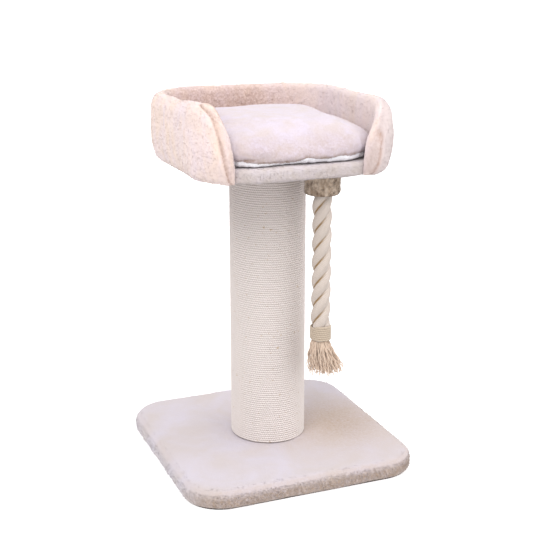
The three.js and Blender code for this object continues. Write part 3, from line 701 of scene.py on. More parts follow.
# A cord wound in even turns about an upright axis.
def makeWoundTree():
    tree, given, out = startGrowth("woundCord", {
        "Radius": 0.07, "Height": 0.5, "Turns": 10.0, "Cord": 0.005, "Steps": 40, "Sides": 8,
        "Unevenness": 0.0002, "Place": (0.0, 0.0, 0.0),
    })
    coil = put(tree, "GeometryNodeCurveSpiral", {
        "Resolution": given["Steps"], "Rotations": given["Turns"], "Start Radius": given["Radius"],
        "End Radius": given["Radius"], "Height": given["Height"], "Reverse": False,
    })
    coil = put(tree, "GeometryNodeSetCurveNormal", {"Curve": coil}, mode="Z_UP")
    wobble = cloudy(tree, put(tree, "GeometryNodeInputPosition"), 55.0, output="Color")
    wobble = scaled(tree, vectorCalc(tree, "SUBTRACT", wobble, (0.5, 0.5, 0.5)), given["Unevenness"])
    coil = put(tree, "GeometryNodeSetPosition", {"Geometry": coil, "Offset": wobble})
    cord = thicken(tree, coil, given["Cord"], given["Sides"])
    cord = put(tree, "GeometryNodeTransform", {"Geometry": cord, "Translation": given["Place"]})
    finishTree(tree, cord, given, out)
    return tree


# Stray hairs or pile standing on the faces of a mesh, leaning at random.
def makeNapTree():
    tree, given, out = startGrowth("napOnFaces", {
        "Density": 20000.0, "Length": 0.004, "Width": 0.0006, "Lean": 60.0, "Seed": 1,
    })
    scattered = put(tree, "GeometryNodeDistributePointsOnFaces", {
        "Mesh": given["Geometry"], "Density": times(tree, stored(tree, "nap"), given["Density"]),
        "Seed": given["Seed"],
    }, None, distribute_method="RANDOM").outputs
    hair = put(tree, "GeometryNodeMeshCone", {
        "Vertices": 3, "Side Segments": 1, "Radius Top": 0.0, "Radius Bottom": given["Width"],
        "Depth": given["Length"],
    }, "Mesh", fill_type="NONE")
    parts = partsOf(tree, put(tree, "FunctionNodeRandomValue", {
        "Min": (0.0, 0.0, 0.0), "Max": (1.0, 1.0, 6.283), "Seed": given["Seed"],
    }, "Value", data_type="FLOAT_VECTOR"))
    tilt = times(tree, calc(tree, "RADIANS", given["Lean"]), plus(tree, 0.6, times(tree, parts["X"], 0.4)))
    turn = scattered["Rotation"]
    for euler in (vectorOf(tree, z=parts["Z"]), vectorOf(tree, tilt)):
        turn = put(tree, "FunctionNodeRotateRotation", {
            "Rotation": turn, "Rotate By": put(tree, "FunctionNodeEulerToRotation", {"Euler": euler}),
        }, rotation_space="LOCAL")
    size = plus(tree, 0.6, times(tree, parts["Y"], 0.8))
    hairs = put(tree, "GeometryNodeInstanceOnPoints", {
        "Points": scattered["Points"], "Instance": hair, "Rotation": turn,
        "Scale": vectorOf(tree, size, size, size),
    })
    finishTree(tree, hairs, given, out)
    return tree


woundTree = makeWoundTree()
napTree = makeNapTree()
print("trees made")


def addNap(piece, name, look, body, slot):
    return finishPiece(newPiece(name, grown(name, napTree, look, piece.data.copy())), body, slot)


# A cord wound between the low and high ends of what it covers, its middle as far out as its reach.
def windCord(name, look, x=0.0, y=0.0):
    half = look["cord"] / 2
    return newPiece(name, grown(name, woundTree, {
        **look, "radius": look["reach"], "height": look["high"] - look["low"] - 2 * half,
        "cord": look["cord"] * look["swell"], "place": (x, y, look["low"] + half),
    }))


# ---- outlines in plan


# Points and outward normals round a rounded rectangle, anticlockwise, about one step apart.
def boardOutline(width, front, back, radius, step):
    reach = width / 2 - radius
    corners = [(reach, back - radius, 0), (-reach, back - radius, 90), (-reach, front + radius, 180),
               (reach, front + radius, 270)]
    points, normals = [], []
    arcSteps = max(6, round(radius * math.pi / 2 / step))
    for index, (x, y, start) in enumerate(corners):
        for i in range(arcSteps + 1):
            angle = math.radians(start + 90 * i / arcSteps)
            normals.append((math.cos(angle), math.sin(angle)))
            points.append((x + radius * normals[-1][0], y + radius * normals[-1][1]))
        nextX, nextY, _ = corners[(index + 1) % 4]
        side = math.hypot(nextX - x, nextY - y)
        sideSteps = max(2, round(side / step))
        for i in range(1, sideSteps):
            share = i / sideSteps
            points.append((x + (nextX - x) * share + radius * normals[-1][0],
                           y + (nextY - y) * share + radius * normals[-1][1]))
            normals.append(normals[-1])
    return np.array(points), np.array(normals)


# ---- plush covers of the base and of the bed's board


# How far each point lies inside the outline of a rounded rectangle.
def insideBy(points, look):
    middleY = (look["front"] + look["back"]) / 2
    halfX, halfY = look["width"] / 2 - look["corner"], (look["back"] - look["front"]) / 2 - look["corner"]
    dx = np.abs(points[:, 0]) - halfX
    dy = np.abs(points[:, 1] - middleY) - halfY
    outer = np.hypot(np.maximum(dx, 0), np.maximum(dy, 0)) + np.minimum(np.maximum(dx, dy), 0)
    return look["corner"] - outer


def outlineOf(look):
    return boardOutline(look["width"], look["front"], look["back"], look["corner"], look["step"])


# A cover round a board: hem, side, rounded edge and top, with an opening under or over the bolts.
def makeCover(name, look, finish):
    outline, normals = outlineOf(look)
    low, high, pile, edge = look["low"], look["high"], look["pile"], look["edge"]
    lower = pile * look["lowerEdge"]
    angles = np.arctan2(outline[:, 1], outline[:, 0])
    hole = np.stack([np.cos(angles), np.sin(angles)], 1) * look["opening"]

    def ring(inset, z, towardsHole=0.0):
        return atHeight((outline - normals * inset) * (1 - towardsHole) + hole * towardsHole, z)

    rings = [ring(look["hem"] * (1 - share) + lower * share, low) for share in np.linspace(0, 1, 5)]
    for angle in np.linspace(0, math.pi / 2, 5)[1:]:
        rings.append(ring(lower * (1 - math.sin(angle)), low + lower * (1 - math.cos(angle))))
    sideTop = high - edge
    for share in np.linspace(0, 1, look["sideSteps"])[1:]:
        rings.append(ring(0, (low + lower) * (1 - share) + sideTop * share))
    for angle in np.linspace(0, math.pi / 2, 9)[1:]:
        rings.append(ring(edge * (1 - math.cos(angle)), sideTop + edge * math.sin(angle)))
    rings += [ring(edge, high, share) for share in np.linspace(0, 1, look["topSteps"])[1:]]
    rings += [ring(pile, high - pile, 1.0), ring(pile, high - pile), ring(pile, low + pile),
              ring(look["hem"], low + pile)]
    mesh = meshFrom(name, np.concatenate(rings), ringFaces(len(rings), len(outline), True))
    return subdivide(newPiece(name, mesh, finish))


# Where the cover shows its pile, where painted shade darkens it (sides that face away from the key light, the
# rolled edge and a darkened spot) and where it is uneven.
def shapeCover(piece, look):
    low, high, pile, edge = look["low"], look["high"], look["pile"], look["edge"]

    def outside(points, normals):
        within = (points[:, 2] > low + pile * 0.4) & (points[:, 2] < high - pile * 0.4)
        return np.where(within & (insideBy(points, look) > pile * 0.6), 0.0, 1.0)

    points, normals = pointsOf(piece.data), normalsOf(piece.data)
    x, y, z = points.T
    upward = normals[:, 2]
    bolted = fade(np.hypot(x, y) - look["bare"], 0.004)
    flat = fade(upward - 0.8, 0.2)
    sunlit = fade(0.45 - normals[:, 0] * 0.55 + normals[:, 1] * 0.83)
    nap = outside(points, normals) * np.where(z > low + pile, bolted, look["hemNap"])
    setShares(piece.data, "nap", nap * (1 - (1 - look["topNap"]) * flat) * (1 - look["sunNap"] * sunlit))
    onSide = fade(high - edge * 0.5 - z, 0.012)
    rolled = fade(0.99 - upward, 0.2) * fade(upward + 0.2, 0.3)
    # painted shade: the sides away from the key light, the rolled edge, and a darkened spot that on the base
    # is the post's painted shadow
    spotX, spotY, reach, depth = look["darkSpot"]
    darkSpot = depth * np.exp(-((x - spotX) ** 2 + (y - spotY) ** 2) / reach ** 2)
    edgeDark = look["edgeShade"] * rolled * (1 - onSide) * (1 - 0.9 * sunlit)
    setShares(piece.data, "shade", fade(look["sideShade"] * onSide * (1 - sunlit) + edgeDark + darkSpot))
    roughen(piece, look["waves"], outside, look["seed"])


def coverPiece(name, look, finish):
    piece = makeCover(name, look, finish)
    shapeCover(piece, look)
    return piece


basePlan = {"width": 0.5, "front": -0.25, "back": 0.25, "corner": 0.08}
bedPlan = {"width": 0.358, "front": -0.197, "back": 0.185, "corner": 0.087}
# Bare is the reach without pile under the post. The darkened spot, given as place, reach and depth, is painted
# shade; on the base it is the post's painted shadow.
baseCover = {
    **basePlan, "step": 0.0085, "hem": 0.03, "lowerEdge": 1.6,
    "low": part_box("base_cover")[0].z, "high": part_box("base_cover")[1].z, "pile": 0.004, "edge": 0.017,
    "sideSteps": 4, "topSteps": 20, "opening": 0.06, "seed": 3.1, "bare": 0.079, "hemNap": 0.0,
    "topNap": 0.0, "sunNap": 0.7, "sideShade": 0.75, "edgeShade": 0.3, "darkSpot": (0.15, -0.02, 0.13, 0.8),
    "waves": [(0.07, 0.0012), (0.018, 0.0005), (0.006, 0.0003)],
}
plushBase = coverPiece("plushBase", baseCover, "basePlush")
finishPiece(plushBase, "stand", "base_cover", "base_cover")
basePile = addNap(plushBase, "basePile", {
    "density": 190000.0, "length": 0.0038, "width": 0.0006, "lean": 62.0, "seed": 21, "finish": "basePlush",
}, "stand", "base_cover")
print("base cover made:", len(plushBase.data.polygons), len(basePile.data.polygons))

boardCover = {
    **bedPlan, "step": 0.0075, "hem": 0.03, "lowerEdge": 1.6,
    "low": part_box("bed_cover")[0].z, "high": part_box("bed_cover")[1].z, "pile": 0.004, "edge": 0.009,
    "sideSteps": 3, "topSteps": 12, "opening": 0.06, "seed": 7.7, "bare": 0.17, "hemNap": 1.0,
    "topNap": 1.0, "sunNap": 0.0, "sideShade": 0.35, "edgeShade": 0.2, "darkSpot": (0.06, -0.19, 0.04, 0.15),
    "waves": [(0.05, 0.001), (0.016, 0.0004)],
}
plushBoard = coverPiece("plushBoard", boardCover, "boardPlush")
finishPiece(plushBoard, "stand", "bed_cover", "bed_cover")
boardPile = addNap(plushBoard, "boardPile", {
    "density": 90000.0, "length": 0.0024, "width": 0.0005, "lean": 76.0, "seed": 22, "finish": "boardPlush",
}, "stand", "bed_cover")
print("board cover made:", len(plushBoard.data.polygons), len(boardPile.data.polygons))


# A flat sheet with rounded edges and holes, for the felt under the base and the plush under the bed.
def sheetPiece(name, look, holes, finish):
    outline, normals = outlineOf(look)
    low, high = look["low"], look["high"]
    soft = (high - low) / 2
    shares = np.linspace(1, 0.04, 9)[1:]
    inner = outline - normals * (look["inset"] + soft)
    rings = [atHeight(inner * share, low) for share in shares[::-1]]
    for angle in np.linspace(math.pi, 0, 7):
        flat = outline - normals * (look["inset"] + soft * (1 - math.sin(angle)))
        rings.append(atHeight(flat, low + soft + soft * math.cos(angle)))
    rings += [atHeight(inner * share, high) for share in shares]
    piece = newPiece(name, closedMesh(name, rings, [(0, 0, low), (0, 0, high)]), finish)
    for x, y, radius in holes:
        drill = cylinderMesh(radius, low - 0.01, high + 0.01, 32, x, y)
        cutter = newPiece(name + "Hole", drill, smooth=False)
        modifier = piece.modifiers.new("hole", "BOOLEAN")
        modifier.operation = "DIFFERENCE"
        modifier.object = cutter
        settle(piece)
        bpy.data.objects.remove(cutter)
    piece.data.set_sharp_from_angle(angle=math.radians(50))
    return piece


def circleAngles(sides):
    return np.linspace(0, 2 * math.pi, sides, endpoint=False)


def circleAt(x, y, radius, angles):
    return np.column_stack([x + radius * np.cos(angles), y + radius * np.sin(angles)])


def cylinderMesh(radius, low, high, sides, x, y):
    points = np.concatenate([atHeight(circleAt(x, y, radius, circleAngles(sides)), z) for z in (low, high)])
    faces = ringFaces(2, sides) + [tuple(range(sides))[::-1], tuple(range(sides, 2 * sides))]
    return meshFrom("round", points, faces)


bolts = {"reach": 0.042, "bearings": (90, 210, 330), "wrenchHole": 0.0115, "hole": 0.0045}
ropePlace = {"reach": 0.144, "bearing": math.radians(-62.7), "hole": 0.0023}
boltPlaces = [(bolts["reach"] * math.cos(math.radians(bearing)),
               bolts["reach"] * math.sin(math.radians(bearing)))
              for bearing in bolts["bearings"]]
rope = {
    "x": ropePlace["reach"] * math.cos(ropePlace["bearing"]),
    "y": ropePlace["reach"] * math.sin(ropePlace["bearing"]),
    "top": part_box("play_rope")[1].z, "end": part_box("play_rope")[0].z,
    "radius": 0.02, "neck": 0.017, "lead": 0.115, "strandReach": 0.0078, "strandRadius": 0.0122,
    "sides": 96, "step": 0.002, "sway": 0.0012, "swayHalves": 1.7, "rounding": 0.004, "topShare": 0.82,
    # the side whose creases get painted shade
    "yarns": 13, "yarnDepth": 0.00022, "yarnLead": 0.16, "shadedCreaseSide": math.radians(205),
}
felt = {
    **basePlan, "step": 0.012, "inset": 0.005,
    "low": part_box("base_underlay")[0].z, "high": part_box("base_underlay")[1].z,
}
feltSheet = sheetPiece("feltSheet", felt, [(x, y, bolts["wrenchHole"]) for x, y in boltPlaces], "feltSheet")
finishPiece(feltSheet, "stand", "base_underlay", "base_underlay")

bedSheet = {
    **bedPlan, "step": 0.01, "inset": 0.0303,
    "low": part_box("bed_underlay")[0].z, "high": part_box("bed_underlay")[1].z,
}
underPlush = sheetPiece("underPlush", bedSheet, [
    *[(x, y, bolts["hole"]) for x, y in boltPlaces], (rope["x"], rope["y"], ropePlace["hole"]),
], "boardPlush")
finishPiece(underPlush, "stand", "bed_underlay", "bed_underlay")
print("sheets made")

# ---- sisal on the post

winding = {
    "cord": 0.0047, "swell": 1.04, "reach": 0.07765, "turns": 125.0, "steps": 48, "sides": 8,
    "unevenness": 0.0009, "finish": "sisal",
    "low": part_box("sisal_winding")[0].z, "high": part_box("sisal_winding")[1].z,
}
sisalWinding = finishPiece(windCord("sisalWinding", winding), "stand", "sisal_winding", "sisal_winding")
setShares(sisalWinding.data, "nap", np.ones(len(sisalWinding.data.vertices)))
sisalFibres = addNap(sisalWinding, "sisalFibres", {
    "density": 2600.0, "length": 0.007, "width": 0.00012, "lean": 75.0, "seed": 5, "finish": "sisal",
}, "stand", "sisal_winding")
print("sisal wound:", len(sisalWinding.data.polygons), len(sisalFibres.data.polygons))

# ---- padded wall of the bed

wall = {
    "height": 0.14, "bulge": 0.035, "lean": 0.006, "clearance": 0.0003, "leftEnd": 32.5, "rightEnd": 21,
    "leftRun": 0.05, "rightRun": 0.102, "endCurve": 1.75, "endHeight": 0.025, "tipRun": 0.012,
    "frontLift": 0.009, "liftFrom": 0.34, "liftTo": 0.215,  # the left front stands a little higher
    "step": 0.0065, "fineStep": 0.003, "fineRun": 0.07, "around": 80,
    "shadeFrom": 0.7, "shadeEnd": 1.0,  # runs from which the painted shade and the painted cooler tone change, inside and over the last stretch
    "boardLow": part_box("bed_cover")[0].z, "boardHigh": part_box("bed_cover")[1].z,
    "seamDepth": 0.0045, "seamWidth": 0.003, "seamFoot": 0.0035, "seamSpread": 0.028, "seamBend": 1.5,
    "seamTurn": 0.03, "seamTurnBend": 12, "rightFrom": 0.6, "rightSeam": 1.3,
    "ridge": 0.0012, "pucker": 0.0006, "crease": 0.0022, "pleat": 0.0014,
    "waves": [(0.06, 0.0018), (0.02, 0.0009), (0.007, 0.0005)],
    "seamShade": 0.85, "panelShade": 0.25, "endShade": 0.1, "innerShade": 0.88, "innerFade": 0.85,
    "innerCool": 0.5, "endCool": 0.85, "innerNap": 0.6,
}


# The stretches of the board's edge: length, start or centre, direction, and first angle of a bend.
def bedLegs():
    reach = boardCover["width"] / 2 - boardCover["corner"]
    radius, front, back = boardCover["corner"], boardCover["front"], boardCover["back"]
    side = back - front - 2 * radius
    arc = radius * math.pi / 2
    return [
        (reach, (0, front), (-1, 0), None), (arc, (-reach, front + radius), None, 270),
        (side, (-reach - radius, front + radius), (0, 1), None), (arc, (-reach, back - radius), None, 180),
        (2 * reach, (-reach, back), (1, 0), None), (arc, (reach, back - radius), None, 90),
        (side, (reach + radius, back - radius), (0, -1), None), (arc, (reach, front + radius), None, 0),
        (reach, (reach, front), (-1, 0), None),
    ]


legs = bedLegs()


# The point of the board's edge at a run from the middle of the front, with its outward normal.
def edgeAt(run):
    rest = run
    for index, (length, start, along, angle) in enumerate(legs):
        if rest <= length or index == len(legs) - 1:
            break
        rest -= length
    if angle is None:
        point = (start[0] + along[0] * rest, start[1] + along[1] * rest)
        return np.array(point), np.array((-along[1], along[0]))
    turn = math.radians(angle) - rest / boardCover["corner"]
    normal = np.array((math.cos(turn), math.sin(turn)))
    return np.array(start) + boardCover["corner"] * normal, normal


def wallRuns():
    reach = boardCover["width"] / 2 - boardCover["corner"]
    whole = sum(leg[0] for leg in legs)
    start = reach + boardCover["corner"] * math.radians(wall["leftEnd"])
    stop = whole - reach - boardCover["corner"] * math.radians(wall["rightEnd"])
    return start, stop


# Height of the rim over the board's underside, low at both ends.
def rimAt(run):
    start, stop = wallRuns()
    share = min(1.0, (run - start) / wall["leftRun"], (stop - run) / wall["rightRun"])
    curve = wall["endCurve"]
    slope = (1 - (1 - max(0.0, share)) ** curve) ** (1 / curve)
    lift = min(1.0, max(0.0, (wall["liftFrom"] - run) / (wall["liftFrom"] - wall["liftTo"])))
    lift = wall["frontLift"] * lift * lift * (3 - 2 * lift) * share
    return wall["endHeight"] + (wall["height"] - wall["endHeight"]) * slope + lift


# A smooth line through points, as many samples as asked for.
def smoothLine(points, count):
    points = np.asarray(points, float)
    ends = np.vstack([2 * points[0] - points[1], points, 2 * points[-1] - points[-2]])
    fine = []
    for i in range(len(points) - 1):
        a, b, c, d = ends[i:i + 4]
        for t in np.linspace(0, 1, 12, endpoint=False):
            fine.append(0.5 * ((2 * b) + (c - a) * t + (2 * a - 5 * b + 4 * c - d) * t ** 2
                               + (3 * b - a - 3 * c + d) * t ** 3))
    fine.append(points[-1])
    fine = np.array(fine)
    lengths = np.concatenate([[0], np.cumsum(np.linalg.norm(np.diff(fine, axis=0), axis=1))])
    wanted = np.linspace(0, lengths[-1], count)
    return np.stack([np.interp(wanted, lengths, fine[:, k]) for k in range(fine.shape[1])], 1)


# Section of the wall: offsets from the board's edge and heights over the board's underside.
def wallSection(run):
    start, stop = wallRuns()
    rim = rimAt(run)
    tip = min(1.0, min(run - start, stop - run) / wall["tipRun"])
    fullness = 0.2 + 0.8 * math.sqrt(1 - (1 - tip) ** 2)
    lean = min(1.0, max(0.0, (rim - 0.045) / 0.03))
    edgeTop = wall["boardHigh"] - wall["boardLow"] + wall["clearance"]
    step = min(edgeTop, rim * 0.63)
    gap = wall["clearance"]
    outer = [(gap + (wall["bulge"] - gap) * share * fullness, height * rim) for share, height in (
        (0.3, 0), (0.58, 0.036), (0.77, 0.11), (0.94, 0.3), (1, 0.55), (0.94, 0.8), (0.88, 0.885),
        (0.67, 0.965), (0.39, 1), (0.12, 0.986))]
    inner = [(gap - (wall["lean"] + gap) * share * lean, max(height * rim, step + rise * rim))
             for share, height, rise in ((0.5, 0.914, 0.27), (1, 0.6, 0.18), (1, 0.4, 0.09))]
    line = smoothLine(outer + inner + [(gap - wall["lean"] * 0.7 * lean, step)], wall["around"])
    foot = [(gap, step - 0.001 * (1 - lean)), (gap, step * 0.5), (gap, 0.0),
            (gap + 0.15 * wall["bulge"] * fullness, 0)]
    return np.vstack([line, foot])


def makeWall():
    start, stop = wallRuns()
    near = [0, 0.0004, 0.0012, 0.0024, 0.004, 0.006]
    near += list(np.arange(0.0085, wall["fineRun"], wall["fineStep"]))
    left, right = start + wall["fineRun"], stop - wall["fineRun"]
    middle = np.linspace(left, right, round((right - left) / wall["step"]) + 1)
    runs = [start + run for run in near] + list(middle) + [stop - run for run in near[::-1]]
    rings, rises, fromEnds = [], [], []
    for run in runs:
        point, normal = edgeAt(run)
        fromEnd = min(run - start, stop - run)
        section = wallSection(run)
        flat = point + section[:, :1] * normal
        rings.append(np.column_stack([flat, wall["boardLow"] + section[:, 1]]))
        rises.append(section[:, 1] / max(section[:, 1].max(), 1e-6))
        fromEnds.append(np.full(len(section), fromEnd))
    count = len(rings[0])
    points = np.concatenate(rings)
    faces = ringFaces(len(rings), count)
    for first, offset, turned in ((0, 0, True), (len(rings) - 1, (len(rings) - 1) * count, False)):
        hub = len(points)
        points = np.vstack([points, rings[first].mean(0)])
        for i in range(count):
            pair = (offset + i, offset + (i + 1) % count)
            faces.append((hub, *(pair[::-1] if turned else pair)))
    mesh = meshFrom("plushWall", points, faces)
    for label, values in {
        "rise": rises + [[0.5, 0.5]], "fromEnd": fromEnds + [[0.0, 0.0]],
        "line": [np.arange(count) < wall["around"]] * len(rings) + [[1.0, 1.0]],
        "run": [np.full(count, run) for run in runs] + [[start, stop]],
    }.items():
        setShares(mesh, label, np.concatenate(values))
    return subdivide(newPiece("plushWall", mesh, "wallPlush"))


# Seams near both ends, creases in the bends and pleats along the lower edge.
def shapeWall(piece):
    mesh = piece.data
    points, normals = pointsOf(mesh), normalsOf(mesh)
    rise, fromEnd, line, run = [readShares(mesh, label) for label in ("rise", "fromEnd", "line", "run")]
    z = points[:, 2]
    # the end panels' seams follow the ends' own curve up to the rim
    tall = fade(z - wall["boardLow"], wall["height"] + wall["frontLift"])
    seamAt = wall["seamFoot"] + wall["seamSpread"] * tall ** wall["seamBend"]
    seamAt += wall["seamTurn"] * tall ** wall["seamTurnBend"]
    seamAt *= np.where(run > wall["rightFrom"], wall["rightSeam"], 1.0)
    away = (fromEnd - seamAt) / wall["seamWidth"]
    outward = np.array([np.dot(normal[:2], edgeAt(place)[1]) for normal, place in zip(normals, run)])
    outside, inside = fade(outward * 3 + 0.5), fade(-outward * 3 - 0.3)
    seam = bell(away) * outside
    shift = -wall["seamDepth"] * seam + wall["ridge"] * bell(away + 2.6, 1.6) * outside
    shift += wall["pucker"] * (bell(away, 3.2) * outside) * noiseOf(z * 130, run * 20, 4)
    shift += wall["crease"] * noiseOf(run * 34, z * 7, 1.5) * inside * fade(fromEnd, 0.05)
    pleats = noiseOf(run * 42, z * 10, 8.5) * outside
    shift += wall["pleat"] * pleats * fade(1 - rise * 2.2) * fade(rise * 12)
    for layer in wall["waves"]:
        shift += wavesAt(points, [layer])
    shift *= line
    setPoints(mesh, points + normals * shift[:, None])
    # painted shade in the seams, on the end panels, over the last stretch and inside the wall, and a painted
    # cooler tone inside on the right and over the last stretch
    endPanel = fade(seamAt - fromEnd, 0.003) * outside
    rightwards = fade(run - wall["shadeFrom"], 0.15)
    lastStretch = fade(run - wall["shadeEnd"], 0.12) * outside
    shade = wall["seamShade"] * seam
    shade += (wall["panelShade"] * endPanel + wall["endShade"] * lastStretch) * (1 - seam)
    shade += (wall["innerShade"] - wall["innerFade"] * rightwards) * inside * np.clip(1.6 - tall, 0.6, 1)
    setShares(mesh, "shade", fade(shade))
    setShares(mesh, "cool", fade(wall["innerCool"] * rightwards * inside + wall["endCool"] * lastStretch))
    bald = np.minimum(1, 1.4 * bell(away, 1.5) * outside)
    setShares(mesh, "nap", line * (1 - bald) * np.where(inside > 0.5, wall["innerNap"], 1.0))


plushWall = makeWall()
shapeWall(plushWall)
finishPiece(plushWall, "stand", "wall_cover", "wall_cover", "wall_padding")
wallPile = addNap(plushWall, "wallPile", {
    "density": 60000.0, "length": 0.0024, "width": 0.0005, "lean": 78.0, "seed": 23, "finish": "wallPlush",
}, "stand", "wall_cover")
print("wall made:", len(plushWall.data.polygons), len(wallPile.data.polygons))

# ---- loose cushion

cushion = {
    "low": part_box("cushion_lining")[0].z, "high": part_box("cushion_top")[1].z,
    "drawIn": 0.006, "corner": 0.0795,
    "voxel": 0.005, "frames": 18, "cap": 0.012, "held": 0.006,  # held still up to here while it fills
    "cloth": {"use_pressure": True, "uniform_pressure_force": 4.0, "quality": 4, "bending_stiffness": 4},
    "clearance": 0.0074, "overEdge": 0.002, "frontReach": 0.006, "sag": 0.003, "sagHeight": 0.012,
    "crownEase": 0.002, "crownReach": 0.006, "thick": 0.0016,
    "openFrom": -0.15, "openMiddle": -0.006, "openHalf": 0.128,  # the bed's open front
    "seam": 0.012, "seamWave": 0.003, "groove": 0.0026, "grooveWidth": 0.0032, "gather": 0.0024,
    "frontSeam": [  # how high the seam runs along the open front, from left to right
        (-0.13, 0.012), (-0.10, 0.009), (-0.065, 0.007), (-0.03, 0.006), (-0.005, 0.008), (0.005, 0.014),
        (0.03, 0.010), (0.05, 0.009), (0.075, 0.014), (0.105, 0.011),
    ],
    "waves": [(0.09, 0.0055), (0.04, 0.0028), (0.008, 0.0005)],
    "foldX": -0.118, "foldHeight": 0.016, "foldDepth": 0.004,
    "edgeShade": 0.35, "foldShade": 0.8, "gatherShade": 0.5, "frontShade": 0.3,
    # (share of the outline, share of the height) from the middle below to the crown
    "profile": [
        (0.02, 0.0), (0.3, 0.0), (0.6, 0.0), (0.84, 0.0), (0.925, 0.012), (0.955, 0.05), (0.972, 0.13),
        (0.985, 0.22), (0.995, 0.33), (0.992, 0.44), (0.965, 0.57), (0.91, 0.69), (0.82, 0.79), (0.69, 0.87),
        (0.52, 0.94), (0.33, 0.98), (0.15, 1.0), (0.02, 1.0),
    ],
}


def cushionOutline(share, parts=14):
    middle = (boardCover["front"] + boardCover["back"]) / 2
    reachX = boardCover["width"] / 2 - boardCover["corner"]
    reachY = (boardCover["back"] - boardCover["front"]) / 2 - boardCover["corner"]
    centres = [(reachX, middle + reachY), (-reachX, middle + reachY), (-reachX, middle - reachY),
               (reachX, middle - reachY)]
    points, corner = [], cushion["corner"]
    for quarter, (x, y) in enumerate(centres):
        for i in range(parts + 1):
            angle = math.pi / 2 * (quarter + i / parts)
            points.append((x + corner * math.cos(angle), y + corner * math.sin(angle)))
        nextX, nextY = centres[(quarter + 1) % 4]
        angle = math.pi / 2 * (quarter + 1)
        for i in range(1, parts):
            reach = corner - cushion["drawIn"] * math.sin(math.pi * i / parts) ** 2
            points.append((x + (nextX - x) * i / parts + reach * math.cos(angle),
                           y + (nextY - y) * i / parts + reach * math.sin(angle)))
    points = np.array(points)
    points[:, 0] *= share
    points[:, 1] = middle + (points[:, 1] - middle) * share
    return points


def makeCushion():
    tall = cushion["high"] - cushion["low"]
    rings = [atHeight(cushionOutline(max(share, 0.02)), cushion["low"] + height * tall)
             for share, height in smoothLine(cushion["profile"], 52)]
    mesh = closedMesh("cushionWhole", rings, [rings[0].mean(0), rings[-1].mean(0)])
    return newPiece("cushionWhole", mesh, "cushionPlush")


# Fills the closed cover with air for a moment, held at its underside, so that it swells.
def puffUp(piece, look):
    remesh = piece.modifiers.new("even", "REMESH")
    remesh.mode = "VOXEL"
    remesh.voxel_size = look["voxel"]
    settle(piece)
    start = pointsOf(piece.data)
    cloth = piece.modifiers.new("cloth", "CLOTH")
    for key, value in look["cloth"].items():
        setattr(cloth.settings, key, value)
    cloth.settings.effector_weights.gravity = 0
    pinned = piece.vertex_groups.new(name="sewn")
    pinned.add(np.nonzero(start[:, 2] < look["low"] + look["held"])[0].tolist(), 1.0, "REPLACE")
    cloth.settings.vertex_group_mass = "sewn"
    for step in range(1, look["frames"] + 1):
        scene.frame_set(step)
    settle(piece)
    scene.frame_set(1)
    piece.vertex_groups.clear()
    move = pointsOf(piece.data) - start
    far = np.linalg.norm(move, axis=1)
    move *= np.minimum(1.0, look["cap"] / np.maximum(far, 1e-9))[:, None]
    setPoints(piece.data, start + move)


# Share of a point in the open front of the bed, between the wall's ends.
def openFront(points):
    return fade(cushion["openFrom"] - points[:, 1], 0.025) * fade(
        cushion["openHalf"] - np.abs(points[:, 0] - cushion["openMiddle"]), 0.03)


def seamHeight(points):
    wave = cushion["seamWave"] * noiseOf(points[:, 0] * 14, points[:, 1] * 14, 3)
    places, heights = zip(*cushion["frontSeam"])
    front = openFront(points)
    return (cushion["seam"] + wave) * (1 - front) + np.interp(points[:, 0], places, heights) * front


# Keeps the cushion inside the wall and under its crown, and lets it sag over the board's edge.
def limitCushion(points):
    front = openFront(points)
    room = insideBy(points, boardCover) - cushion["clearance"] * (1 - front) + cushion["overEdge"] * front
    middle = np.array([0.0, (boardCover["front"] + boardCover["back"]) / 2])
    inward = middle - points[:, :2]
    inward /= np.maximum(np.linalg.norm(inward, axis=1), 1e-9)[:, None]
    points[:, :2] += inward * np.maximum(-room, 0)[:, None] * 1.1
    # the crown rounds off softly below its highest point
    crownFrom = cushion["high"] - cushion["crownEase"]
    over = np.maximum(points[:, 2] - crownFrom, 0)
    eased = crownFrom + cushion["crownReach"] * (1 - np.exp(-over / cushion["crownReach"]))
    points[:, 2] = np.maximum(np.minimum(points[:, 2], eased), cushion["low"])
    # over the board's rounded front edge the lining sags a little, more towards the right
    edge = boardCover["edge"]
    past = np.clip(edge - insideBy(points, boardCover), 0, edge * 0.98)
    drop = np.minimum(edge - np.sqrt(edge ** 2 - past ** 2), cushion["sag"]) * front
    points[:, 2] -= drop * fade(0.5 + points[:, 0] * 9) * fade(
        cushion["sagHeight"] - (points[:, 2] - cushion["low"]), cushion["sagHeight"])
    return points


